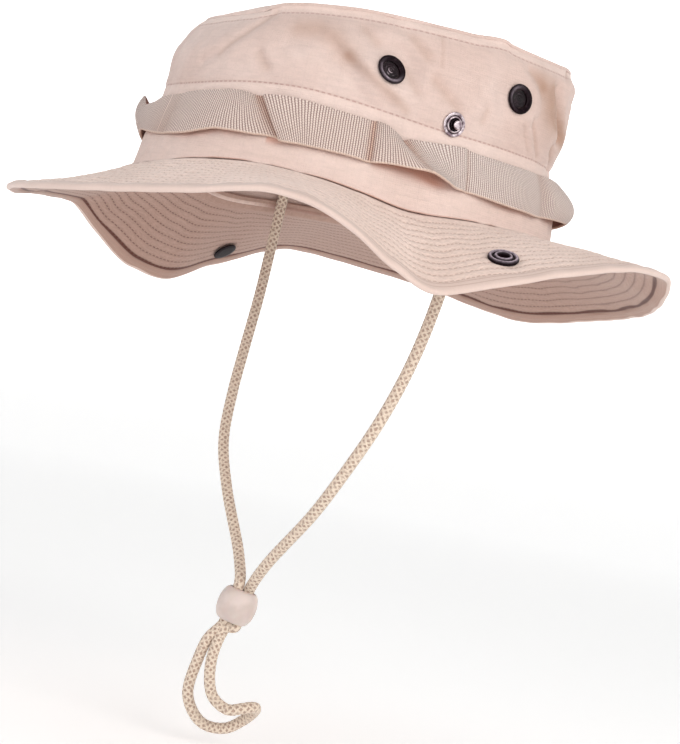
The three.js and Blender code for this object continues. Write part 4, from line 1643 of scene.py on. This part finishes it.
@dataclass(frozen=True)
class CrownSide:
    """The side wall of the crown, with its waist seam, top stitching and creases."""

    form: HatForm
    band: "LoopBand"
    wall: float = 1.6
    around: int = 600
    rows: int = 104
    top_stitch: float = 3.2
    stitch_depth: float = 0.2
    seam_depth: float = 0.3
    seam_fold: float = 0.25
    pucker: float = 0.09
    pucker_pitch: float = 5.4
    wear: tuple[float, float] = (0.22, 0.1)
    vent_hole: float = 4.9
    stud_hole: float = 2.5

    def outside(self, turn: Array, z: Array, from_waist: Array, below_stitch: Array) -> Array:
        """How far the wall's outside stands from the oval.

        The waist seam and the stitching press in as bells of the distance, with a fold
        over the seam and puckers by both. Worn cloth ripples a little, but not by the
        vents.

        Args:
            turn: Angles in degrees.
            z: Heights, of the same shape.
            from_waist: Heights over the waist seam.
            below_stitch: Depths below the top stitching.

        Returns:
            Distances out.
        """
        soft = step_up(self.form.near_vents(turn, z), 7.0, 14.0)
        phase = turn * MM_PER_DEGREE * math.tau / self.pucker_pitch + 2 * np.sin(turn / 9)
        near_seams = bell(from_waist, 2.4) + bell(below_stitch, 2.2)
        out = self.form.crown_out(turn, z) - self.pucker * np.sin(phase) * near_seams
        out = out - self.seam_depth * bell(from_waist, GROOVE)
        out = out + self.seam_fold * bell(from_waist - 2.6, 1.8)
        out = out - self.stitch_depth * bell(below_stitch, GROOVE)
        out = out + soft * self.wear[0] * ripple(turn, z, 11, (6, 26), 26.0)
        return out + soft * self.wear[1] * ripple(turn, z, 12, (26, 70), 11.0)

    def build(self) -> bpy.types.Object:
        """Makes the wall from lines up its outside, and cuts the fittings' holes.

        The lines start at the seam, raised where it gapes, and end at the top edge.
        They are wrapped to the wall's thickness.

        Returns:
            The wall.
        """
        form = self.form
        at = stations(self.around)
        gape = form.gape.read("open", at)[:, None]
        low = form.seam.read("z", at)[:, None] + 0.06 + 0.42 * gape
        top = form.top_z(at)[:, None]
        z = low + (top - low) * np.linspace(0, 1, self.rows)
        turn = np.broadcast_to(at[:, None], z.shape)
        from_waist = z - form.crown.read("waist_z", at)[:, None]
        below_stitch = top - z - self.top_stitch
        back = np.unique(np.append(np.arange(0, self.rows, 4), self.rows - 1))
        face = np.stack([self.outside(turn, z, from_waist, below_stitch), z], axis=-1)
        section = wrapped(face, back, np.full(z.shape, self.wall), power=0.4)
        section[..., 1] = np.maximum(section[..., 1], low)
        grid = form.place(at[:, None], section[..., 0], section[..., 1])
        length = section.shape[1]
        # Painted shade along the creases
        fold_shades = sum(fold.dent(turn, z) for fold in form.fold_shades)
        # Painted shadow under the band's lower edge and along the foot of the wall where the seam
        # gapes
        contact_shadow = np.maximum(self.band.shadow_below(turn, z), gape * bell(z - low, 0.4))
        # Painted light below the waist seam and above the top stitching
        pale = step_up(-from_waist, -2.5, 1.5) + step_up(-below_stitch, -2, 1)
        marks = {
            "pale": spread(pale, length, 0.0),
            "from_waist": spread(from_waist, length, FAR),
            "below_top": spread(below_stitch, length, FAR),
            "fold": spread(np.clip(fold_shades, 0, 1), length, 0.0),
            "contact_shadow": spread(contact_shadow, length, 0.0),
        }
        pattern = seam_pattern(np.append(at, 360.0) * MM_PER_DEGREE, section[..., 1])
        finish = ClothFinish("ripstop_cloth", ("from_waist", "below_top"))
        skin = Skin(grid, pattern=pattern, marks=marks)
        obj = skin.build("crown_side_cloth", "ripstop_cloth", "crown_side", finish)
        vents = [form.vent_spot(side, vent) for side in Side for vent in VENTS.values()]
        holes = [(spot, self.vent_hole) for spot in vents]
        holes += [(form.stud_spot(side), self.stud_hole) for side in Side]
        pierced(obj, holes)
        return obj


@dataclass(frozen=True)
class CrownTip:
    """The oval panel on top of the crown, slightly domed."""

    form: HatForm
    thickness: float = 1.6
    gap: float = 0.3
    dome: float = 2.5
    around: int = 360
    rings: int = 56
    stitch: float = 5.0
    stitch_depth: float = 0.25
    corner: float = 0.75
    lower_corner: float = 0.15
    wear: float = 0.35

    def build(self) -> bpy.types.Object:
        """Makes the panel as two sheets joined by a rounded rim.

        A point is the middle plus a part of the way to the rim. Its height follows a
        slanting plane, plus the rim's own warp times the part squared, plus the dome
        times one minus the part squared. A stitched line presses in near the rim.

        Returns:
            The panel.
        """
        form = self.form
        at = stations(self.around)
        dip = form.edge.read("dip", at)
        inset = form.crown.read("top", at) - form.edge.read("full", at)
        rim = form.place(at, -inset, form.top_z(at) + dip + self.gap)
        front, back = rim[0], rim[self.around // 2]
        middle = np.array([0.0, (front[1] + back[1]) / 2, (front[2] + back[2]) / 2])
        radius = np.linalg.norm((rim - middle)[:, :2], axis=1)[:, None]
        bend = np.linspace(0, math.pi / 2, 6)
        share = np.linspace(0.02, 1, self.rings) ** 0.75
        flat = radius * share - self.corner * share
        upper = self.sheet(rim, dip, middle, flat / radius)
        depth = self.stitch_depth * bell(radius - flat - self.stitch, GROOVE)
        wave = self.wear * ripple(at[:, None], flat, 21, (2, 9), 40.0) * (1 - share**6)
        wave *= step_up(share, 0.08, 0.6)
        upper[..., 2] += self.thickness - depth + wave
        turn = np.sin(bend) * self.corner
        edge = self.sheet(rim, dip, middle, (radius - self.corner + turn) / radius)
        edge[..., 2] += self.thickness - self.corner * (1 - np.cos(bend))
        bend = np.linspace(0, math.pi / 2, 5)
        turned_in = radius - self.lower_corner * (1 - np.cos(bend))
        lower = self.sheet(rim, dip, middle, turned_in / radius)
        lower[..., 2] += self.lower_corner * (1 - np.sin(bend))
        under = self.sheet(rim, dip, middle, np.linspace(0.985, 0.05, 16)[None])
        grid = np.concatenate([upper, edge[:, 1:], lower, under], axis=1)
        poles = (
            middle + [0, 0, self.dome + self.thickness + wave[:, 0].mean()],
            middle + [0, 0, self.dome],
        )
        flat_out = (grid - middle)[..., :2]
        pattern = np.concatenate([flat_out, flat_out[:1]])
        marks = {"from_rim": spread(radius - flat - self.stitch, grid.shape[1], FAR)}
        finish = ClothFinish("crown_tip_cloth", ("from_rim",))
        skin = Skin(grid, ends=poles, pattern=pattern, marks=marks)
        return skin.build("crown_tip_cloth", "ripstop_cloth", "crown_tip", finish)

    def sheet(self, rim: Array, dip: Array, middle: Array, part: Array) -> Array:
        """Points at parts of the way from the middle to the rim.

        The plane runs through the rim's front and back. The dome takes off with the
        part squared, and the rim's dip with its 40th power.

        Args:
            rim: The rim's points.
            dip: How far the rim dips at each of them.
            middle: The panel's middle.
            part: Parts of the way, for each of the rim's points.

        Returns:
            Points, rim points by parts by 3.
        """
        front, back = rim[0], rim[self.around // 2]
        slope = (back[2] - front[2]) / (back[1] - front[1])
        part = np.broadcast_to(part, (len(rim), part.shape[-1]))[..., None]
        p = middle + (rim - middle)[:, None] * part
        plane = middle[2] + slope * (p[..., 1] - middle[1])
        rim_plane = middle[2] + slope * (rim[:, 1] - middle[1])
        warp = (rim[:, 2] - rim_plane)[:, None] * part[..., 0] ** 2
        p[..., 2] = plane + warp + self.dome * (1 - part[..., 0] ** 2)
        p[..., 2] -= dip[:, None] * part[..., 0] ** 40
        return p


@dataclass(frozen=True)
class Brim:
    """The brim: two layers of cloth, sewn in rings, with a turned hem.

    The lip is the cloth that goes in under the crown: distances in and rises.
    """

    form: HatForm
    rows: Rows = Rows()
    thickness: float = 2.0
    hem_thickness: float = 2.6
    row_depth: float = 0.34
    pucker: float = 0.22
    pucker_pitch: float = 3.9
    hem_rise: float = 0.28
    wear: tuple[float, float] = (0.22, 0.16)
    wander: float = 0.55
    around: int = 640
    steps: int = 100
    lip: tuple[tuple[float, float], ...] = ((3.0, 3.2), (3.0, 1.4), (2.7, 0.4), (2.0, 0.0))
    lip_thickness: float = 1.2

    def relief(self, inward: Array, at: Array, along: Array) -> Array:
        """How far the stitched rows and the hem shape the upper face.

        Each row presses a narrow bell into the cloth, with small puckers beside it that
        come and go along the stitches. The hem stands a little proud.

        Args:
            inward: Distances in from the edge.
            at: Angles in degrees.
            along: Distances round the brim.

        Returns:
            Heights over the plain face.
        """
        rows = self.rows
        number = np.clip(np.round((inward - rows.first) / rows.pitch), 0, rows.count - 1)
        off = inward - rows.first - number * rows.pitch
        phase = math.tau * along / self.pucker_pitch + 1.9 * number + 1.5 * np.sin(at / 3.0)
        height = -self.row_depth * bell(off, GROOVE) + self.pucker * np.sin(phase) * bell(off, 2.0)
        height += self.hem_rise * step_up(inward, rows.hem, rows.hem - 1.2)
        height += self.wear[0] * ripple(at, inward, 31, (8, 30), 30.0)
        height += self.wear[1] * ripple(at, inward, 32, (24, 64), 14.0)
        return height * step_up(inward, -0.5, 1.5)

    def build(self) -> bpy.types.Object:
        """Makes the brim from lines out over its upper face.

        Each line follows brim_line, raised by its relief and wrapped to the cloth's
        thickness. A short lip goes in under the crown. The stitched rows wander a
        little, but not at the hem or the seam.

        Returns:
            The brim.
        """
        form = self.form
        at = stations(self.around)
        share = np.linspace(0, 1, self.steps)
        line = form.brim_line(at, share)
        width = form.brim.read("width", at)[:, None]
        inward = width * (1 - share)
        along = girth(form.place(at, line[:, -1, 0], line[:, -1, 1]))
        turn = np.broadcast_to(at[:, None], inward.shape)
        loose = step_up(inward, 2.0, 9.0) * step_up(width - inward, 0.0, 5.0)
        inward = inward + self.wander * ripple(turn, inward, 33, (14, 46), 24.0) * loose
        height = self.relief(inward, turn, along[:-1, None]) * step_up(width * share, 0.0, 2.5)
        lip_in, lip_rise = np.array(self.lip).T
        lip = np.broadcast_arrays(-lip_in, line[:, :1, 1] + lip_rise)
        face = line - beside(line) * height[..., None]
        face = np.concatenate([np.stack(lip, axis=-1), face], axis=1)
        inward = np.concatenate([width + lip_in, inward], axis=1)
        hem = step_up(inward, self.rows.hem, self.rows.hem - 1.0)
        thick = self.thickness + (self.hem_thickness - self.thickness) * hem
        thick[:, : len(self.lip)] = self.lip_thickness
        thick[:, len(self.lip) :] += height * 0.9
        last, roll = face.shape[1] - 1, 7
        back = np.unique([*range(0, last - 16, 4), *range(last - 16, last, 2), last])
        section = wrapped(face, back, -thick, roll)
        grid = form.place(at[:, None], section[..., 0], section[..., 1])
        nose, start = np.full((self.around, roll), 0.01), np.full((self.around, roll), -60.0)
        signed = np.concatenate([inward, nose, -inward[:, back[::-1]], start], axis=1)
        gape = form.gape.read("open", at)[:, None]
        # Painted shade where the brim goes in under the crown, deeper where the seam gapes
        seam = bell(np.minimum(inward - width, 0), 0.7) * (0.15 + 0.85 * gape)
        marks = {"seam": spread(seam, section.shape[1], 0.0)}
        skin = Skin(grid, pattern=seam_pattern(along, signed), marks=marks)
        return skin.build("brim_cloth", "brim_cloth", "brim", BrimFinish(self.rows))


@dataclass(frozen=True)
class LoopBand:
    """The webbing band, tacked to the crown so that it stands off in loops.

    Low and high are how far its edges stand off the crown, cup is how much its middle
    bows out beyond them, flare is how much its lower edge curls out, and lean is how far
    its upper edge is turned on, in degrees. Cool is a share of tone, and the two shades
    are shares of painted shade in its pleats, folds and grooves.
    """

    form: HatForm
    thickness: float = 1.2
    width: float = 17.5
    flare_share: float = 0.25
    around: int = 1440
    rows: int = 17
    middle_row: int = 7
    table: RoundTable = RoundTable(
        (
            "at", "low", "high", "cup", "z_low", "z_high", "lean", "cool", "flare",
            "shade_low", "shade_high",
        ),
        (
            (4, 0.3, 0.3, 0, 9.1, 27.2, 1, 0, 0, 0.5, 0.2),
            (7, 1.3, 0.6, 0.1, 9.2, 28, 2, 0, 0, 0.3), (12, 1.9, 1, 0.3, 9.5, 28.7, 1),
            (16, 2.3, 1.2, 0.4, 10.2, 29.2), (22, 2.6, 1.4, 0.5, 12.2, 29.9),
            (26, 2.6, 1.4, 0.5, 13.5, 30.7, -1), (30, 2.3, 1.1, 0.4, 13.5, 30.9, -3),
            (34, 1.6, 0.8, 0.2, 13.3, 30.6, -5),
            (37, 1, 0.4, 0, 13.6, 30, -6.5, 0, 0, 0.15, 0.2),
            (38.6, 0.4, 0.3, 0, 13.6, 29.7, -7, 0, 0, 0.3, 0.9),
            (40.1, 0.4, 0.3, 0, 13.2, 29.8, -7, 0, 0, 0.9, 1),
            (40.7, 2.5, 2.2, 0, 12.3, 30.3, -7, 0, 0, 0.2, 0.2),
            (43, 2.7, 2.3, 0.1, 12.1, 30.8, -6), (47, 1.9, 1.3, 0.2, 12.4, 31.3, -4),
            (52, 1.5, 1, 0.3, 12.3, 30.5, -1), (57, 1.5, 0.9, 0.3, 12.1, 29.5),
            (62, 1.4, 0.8, 0.2, 11.8, 28.7), (65.4, 1.2, 1, 0, 11.2, 28.3),
            (66.3, 0.4, 0.4, 0, 11, 28.2, 0, 0, 0, 0.3, 0.3),
            (67.4, 0.3, 0.3, 0, 11, 28.2, 0, 0, 0, 0.9, 0.9),
            (68.1, 1.9, 1.7, 0, 11.1, 28.2, 0, 0, 0, 0.2, 0.2),
            (70, 3.6, 3.4, 0.4, 11.7, 27.7, -1, 0.1), (73, 5.4, 5.2, 0.7, 12.1, 25.3, -2, 0.1),
            (75.6, 6.4, 5.4, 0.8, 12, 23.2, -4, 0.2, 0.4),
            (77.2, 6.7, 3.4, 0.6, 11.9, 22.3, -6, 0.2, 0.8, 0.2, 0.4),
            (78.8, 6.5, 0.9, -0.6, 11.6, 22.6, -7, 0.3, 1.2, 0.5, 1),
            (81, 5.6, 0.6, -1.4, 10.6, 24, -7, 0.6, 1.6, 0.1, 0.3),
            (84, 4.2, 0.5, -1, 9.2, 24.5, -6, 0.9, 1.8),
            (87, 2.8, 0.5, -0.2, 8.3, 25.1, -4, 1, 1.4),
            (90, 1.6, 0.5, 0.2, 8.2, 25.9, -1, 1, 0.8),
            (93.2, 0.9, 0.7, 0, 8.1, 26.3, 0, 1, 0.2),
            (93.9, 0.3, 0.3, 0, 8.1, 26.2, 0, 1, 0, 0.4, 0.3),
            (95, 0.9, 0.7, 0, 8.1, 25.6, 0, 1), (98, 1.5, 0.9, 0.2, 7.9, 25, 0, 1),
            (110, 2.6, 1.4, 0.4, 6.9, 24.9, 0, 1), (122, 1.2, 0.8, 0.2, 6.9, 25.4, 0, 1),
            (125.5, 0.3, 0.3, 0, 7.4, 25.5, 0, 1, 0, 0.2, 0.5),
            (131, 3, 2, 1.5, 8.3, 25.7, 0, 1), (142, 5.4, 3.4, 3.2, 9.5, 25.2, 0, 1),
            (153, 5.9, 3.8, 4, 10.6, 24.6, 0, 1), (164, 4.2, 2.8, 2.6, 9.2, 24.6, 0, 0.8),
            (173, 1.4, 1, 0.6, 7.2, 25, 0, 0.6), (177, 0.3, 0.3, 0, 7, 25, 0, 0.5, 0, 0.3, 0.3),
            (192, 2.4, 1.4, 0.6, 7.8, 25.4, 0, 0.3),
            (207, 0.3, 0.3, 0, 7.6, 25.4, 0, 0, 0, 0.3, 0.3), (221, 2.8, 1.6, 0.6, 8.4, 26.2),
            (235, 0.3, 0.3, 0, 7.6, 25.4, 0, 0, 0, 0.3, 0.3), (249, 3, 1.8, 0.6, 8.4, 26),
            (263, 0.3, 0.3, 0, 7.8, 25.6, 0, 0, 0, 0.3, 0.3), (275, 3, 1.6, 0.5, 8.6, 26.4),
            (288, 0.3, 0.3, 0, 9, 26.6, 0, 0, 0, 0.3, 0.3), (299, 2.6, 1.4, 0.5, 9, 27),
            (310, 0.3, 0.3, 0, 6.4, 24.6, 0, 0, 0, 0.3, 0.3),
            (316, 2.4, 2.4, 1.2, 7.8, 24.8, -1), (325, 2.6, 5, 2.4, 11, 25.2, -4),
            (329, 2.4, 6.2, 2.5, 12, 26, -5), (333, 2.2, 8, 2.4, 12.8, 28.2, -6),
            (337, 2.1, 6.2, 2.1, 12.6, 25.6, -6.5), (342, 2, 4.2, 1.6, 11.9, 22.9, -7),
            (350, 1.8, 2.2, 0.6, 10.4, 23.6, -6), (355, 1.2, 1, 0.2, 9.6, 26.2, -3, 0, 0, 0.2),
        ),
    )

    def shadow_below(self, at: Array, z: Array) -> Array:
        """How much painted shadow the band's lower edge lays on the crown just under it.

        A bell of the distance below the edge, which widens with the stand-off, times a
        share that grows with it.

        Args:
            at: Angles in degrees.
            z: Heights, of the same shape.

        Returns:
            Shares between 0 and 1.
        """
        low = self.table.read("low", at)
        below = self.table.read("z_low", at) - z
        reach = 0.8 + 0.35 * low
        return bell(np.maximum(below, 0), reach) * step_up(low, 0.0, 4.0) * (below > -4)

    def build(self) -> bpy.types.Object:
        """Makes the band as a closed ring of thick sections.

        At a share v of its width a point is at height low + (high - low) * v. It
        stands off the crown by the two edges' stand-offs mixed by v, plus the cup times
        4v(1 - v), plus the flare near the lower edge, and is turned on by the lean times
        v less a half.

        Returns:
            The band.
        """
        at = stations(self.around)
        read = {name: self.table.read(name, at)[:, None] for name in self.table.columns[1:]}
        v = np.linspace(0, 1, self.rows)[None]
        z = read["z_low"] + (read["z_high"] - read["z_low"]) * v
        turn = at[:, None] + read["lean"] * (v - 0.5)
        stand = read["low"] * (1 - v) + read["high"] * v + read["cup"] * 4 * v * (1 - v)
        stand = stand + read["flare"] * np.clip(1 - v / self.flare_share, 0, 1) ** 2
        inner = np.stack([self.form.crown_out(turn, z) + stand, z], axis=-1)
        face = inner + beside(inner) * self.thickness
        back, roll = np.arange(0, self.rows, 2), 4
        section = wrapped(face, back, np.full(z.shape, self.thickness), roll)
        share = np.concatenate([v[0], np.ones(roll), v[0, back[::-1]], np.zeros(roll)])[None]
        lean = at[:, None] + read["lean"] * (share - 0.5)
        grid = self.form.place(lean, section[..., 0], section[..., 1])
        across = np.broadcast_to(share * self.width, section.shape[:2])
        # The inner face is marked for painted shade
        inside = np.zeros(section.shape[:2])
        inside[:, self.rows + roll - 1 : -1] = 1.0
        shade = read["shade_low"] * (1 - share) + read["shade_high"] * share
        marks = {"cool": read["cool"], "shade": shade, "inside": inside}
        pattern = seam_pattern(girth(grid[:, self.middle_row]), across)
        skin = Skin(grid, pattern=pattern, marks=marks)
        return skin.build("loop_band_webbing", "webbing", "loop_band", WebbingFinish())


# ---- fittings ----


def eased(profile: list[tuple[float, float]], radius: float, steps: int = 4) -> Array:
    """A profile whose inner corners are rounded.

    Each corner is replaced by a quadratic curve from a point short of it to a point
    past it, pulled by the corner.

    Args:
        profile: Rows of radius and height.
        radius: How far short of a corner its curve starts, at most a third of a span.
        steps: Spans of each curve.

    Returns:
        Rows of radius and height.
    """
    p = np.array(profile, float)
    before, corner, after = p[:-2], p[1:-1], p[2:]
    back, on = before - corner, after - corner
    back_length = np.linalg.norm(back, axis=1, keepdims=True)
    on_length = np.linalg.norm(on, axis=1, keepdims=True)
    start = corner + back / back_length * np.minimum(radius, back_length / 3)
    end = corner + on / on_length * np.minimum(radius, on_length / 3)
    t = np.linspace(0, 1, steps + 1)[None, :, None]
    start, corner, end = start[:, None], corner[:, None], end[:, None]
    curve = (1 - t) ** 2 * start + 2 * t * (1 - t) * corner + t**2 * end
    return np.concatenate([p[:1], curve.reshape(-1, 2), p[-1:]])


@dataclass(frozen=True)
class Vent:
    """A pressed eyelet with a wire screen. Height 0 is the cloth's outer face."""

    form: HatForm
    radius: float = 6.75
    hole: float = 4.1
    barrel: float = 4.6
    under: float = -2.9
    flange: float = 0.6
    gap: float = 0.3
    screen_dome: float = 0.35
    screen_thickness: float = 0.45
    ring_pitch: float = 1.25
    ring_height: float = 0.08

    def build(self, side: Side, place: str) -> None:
        """Makes one eyelet and its screen.

        Args:
            side: Side of the hat.
            place: Front or back, a key of VENTS.
        """
        vent = VENTS[place]
        spot = self.form.vent_spot(side, vent)
        self.eyelet(spot, vent, f"{side.word}_{place}")
        self.screen(spot, vent, f"{side.word}_{place}")

    def worn_side(self, vent: VentPlace, reach: float) -> Array:
        """Shares of painted highlight round the axis: a bell of the angle from its bright side."""
        round_axis = np.linspace(0, 360, SEGMENTS, endpoint=False)
        return bell((round_axis - vent.worn_at + 180) % 360 - 180, reach)[:, None]

    def eyelet(self, spot: Spot, vent: VentPlace, tail: str) -> None:
        """Makes the eyelet as a closed ring, rolled over on both sides of the cloth.

        Args:
            spot: Where it sits.
            vent: Where its painted highlight lies.
            tail: The end of its name.
        """
        r, low = self.radius, self.under - self.flange
        profile = [
            (self.hole + 0.2, low + 0.1), (r - 0.8, low), (r - 0.8, self.under),
            (self.barrel, self.under), (self.barrel, 0.35), (r - 0.05, 0.35), (r, 0.9),
            (r - 0.3, 1.5), (r - 0.9, 1.7), (r - 1.35, 1.45), (r - 2.15, 0.8),
            (self.hole, 0.65), (self.hole, -1.6),
        ]
        ring = eased([*profile, profile[0]], 0.3)[:-1]
        # Painted highlight: a crescent of pale metal colour on the rim's inner slope, on one side
        # only
        band = bell(ring[:, 0] - (r - 1.4), 0.7) * (ring[:, 1] > 0.6)
        worn = vent.worn * self.worn_side(vent, 58.0) * band
        skin = Skin(spot.turned(ring), marks={"worn": worn})
        finish = EnamelFinish(f"eyelet_black_{tail}")
        skin.build(f"vent_eyelet_{tail}", "eyelet_black", f"vent_{tail}", finish)

    def screen(self, spot: Spot, vent: VentPlace, tail: str) -> None:
        """Makes the screen as a thin dome, 1 less the radius squared, with fine rings.

        Args:
            spot: Where it sits.
            vent: Where its painted highlight lies.
            tail: The end of its name.
        """
        reach = self.hole - self.gap
        rise = np.linspace(0, 1, 25)[:, None]
        rings = self.ring_height * np.cos(math.tau * reach * rise / self.ring_pitch)
        top = np.concatenate([reach * rise, self.screen_dome * (1 - rise**2) + rings - 0.1], axis=1)
        top = top[::-1]
        low_side = top[::-4] - [0.0, self.screen_thickness]
        disc = np.concatenate([low_side[1:], top[:-1]])
        # Painted highlights on the crests of the rings, mostly on the rim's bright side
        crest = np.cos(math.tau * disc[:, 0] / self.ring_pitch) * bell(disc[:, 0] - 1.6, 1.6)
        crest = np.clip(crest, 0, 1) * (disc[:, 1] > -0.2)
        worn = 1.8 * vent.worn**2 * (0.12 + 0.88 * self.worn_side(vent, 64.0)) * crest
        ends = (spot.axis(low_side[0, 1]), spot.axis(top[-1, 1]))
        skin = Skin(spot.turned(disc), ends=ends, marks={"worn": worn})
        finish = ScreenFinish(f"vent_screen_{tail}")
        skin.build(f"vent_wire_{tail}", "vent_screen", f"vent_screen_{tail}", finish)


@dataclass(frozen=True)
class SnapStud:
    """The press stud's post on the crown: a dished washer with a bright knob."""

    form: HatForm
    radius: float = 5.5
    barrel: float = 2.2
    under: float = -2.9
    flange: float = 0.6

    def build(self, side: Side) -> None:
        """Makes one stud, with painted shade in its groove and under its knob.

        Args:
            side: Side of the hat.
        """
        spot = self.form.stud_spot(side)
        r, low = self.radius, self.under - self.flange
        profile = [
            (0.3, low), (r - 0.8, low), (r - 0.8, self.under), (self.barrel, self.under),
            (self.barrel, 0.6), (r - 0.1, 0.6), (r, 0.85), (r - 0.35, 1.1), (r - 1.25, 1),
            (r - 1.45, 0.7), (r - 1.75, 0.7), (r - 1.95, 1.3), (r - 2.45, 1.4), (2.75, 1),
            (2, 0.8), (1.5, 1.3), (1.5, 3), (2, 3.4), (2.05, 3.9), (1.7, 4.3), (0.2, 4.4),
        ]
        line = eased(profile, 0.2)
        radius, height = line.T
        # Painted shade in the groove round the washer and in the neck under the knob
        groove = bell(radius - (r - 1.6), 0.22)
        neck = (radius < 2.95) * step_up(3.6 - height, 0.0, 0.3)
        hollow = np.clip(groove + neck, 0, 1) * (height > 0.3)
        skin, finish = spot.solid(line, hollow=hollow), NickelFinish(f"stud_nickel_{side.word}")
        skin.build(f"snap_post_{side.word}", "stud_nickel", f"snap_stud_{side.word}", finish)


@dataclass(frozen=True)
class SnapSocket:
    """The press stud's socket on the brim: a black cap with a raised mouth."""

    form: HatForm
    radius: float = 6.8
    barrel: float = 2.6
    under: float = -3.1

    def build(self, side: Side) -> None:
        """Makes one socket, with painted highlights along its two rims.

        Args:
            side: Side of the hat.
        """
        spot = self.form.socket_spot(side)
        r, low = self.radius, self.under
        profile = [
            (0.3, low - 0.9), (r - 2.5, low - 0.9), (r - 0.6, low - 0.6), (r - 0.6, low),
            (self.barrel, low), (self.barrel, 0.35), (r - 0.1, 0.35), (r, 1.2),
            (r - 0.6, 2.1), (r - 1.3, 2.2), (r - 1.8, 1.5), (4.3, 1.2), (3.9, 2.1),
            (3.4, 2.5), (2.8, 2.3), (2.5, 1.5), (2.4, -0.6), (0.3, -0.7),
        ]
        line = eased(profile, 0.25)
        radius, height = line.T
        # Painted highlights along the two rims
        rims = bell(radius - (r - 1.1), 0.5) + 0.9 * bell(radius - 3.4, 0.42)
        worn = np.clip(rims, 0, 1) * (height > 1.6)
        skin, finish = spot.solid(line, worn=worn), EnamelFinish(f"socket_black_{side.word}")
        skin.build(f"snap_cap_{side.word}", "socket_black", f"snap_socket_{side.word}", finish)


# ---- the hat ----


def main() -> None:
    """Builds the camera, the cord, the hat and the studio."""
    logging.basicConfig(level=logging.INFO, format="%(name)s: %(message)s")
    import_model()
    Viewpoint().build()
    cord = ChinCord()
    cord.build()
    CordSlider(cord).build()
    form = HatForm()
    band = LoopBand(form)
    CrownSide(form, band).build()
    CrownTip(form).build()
    Brim(form).build()
    band.build()
    for side in Side:
        for place in VENTS:
            Vent(form).build(side, place)
        SnapStud(form).build(side)
        SnapSocket(form).build(side)
    studio = Studio()
    studio.bowl()
    studio.light()


if __name__ == "__main__":
    main()
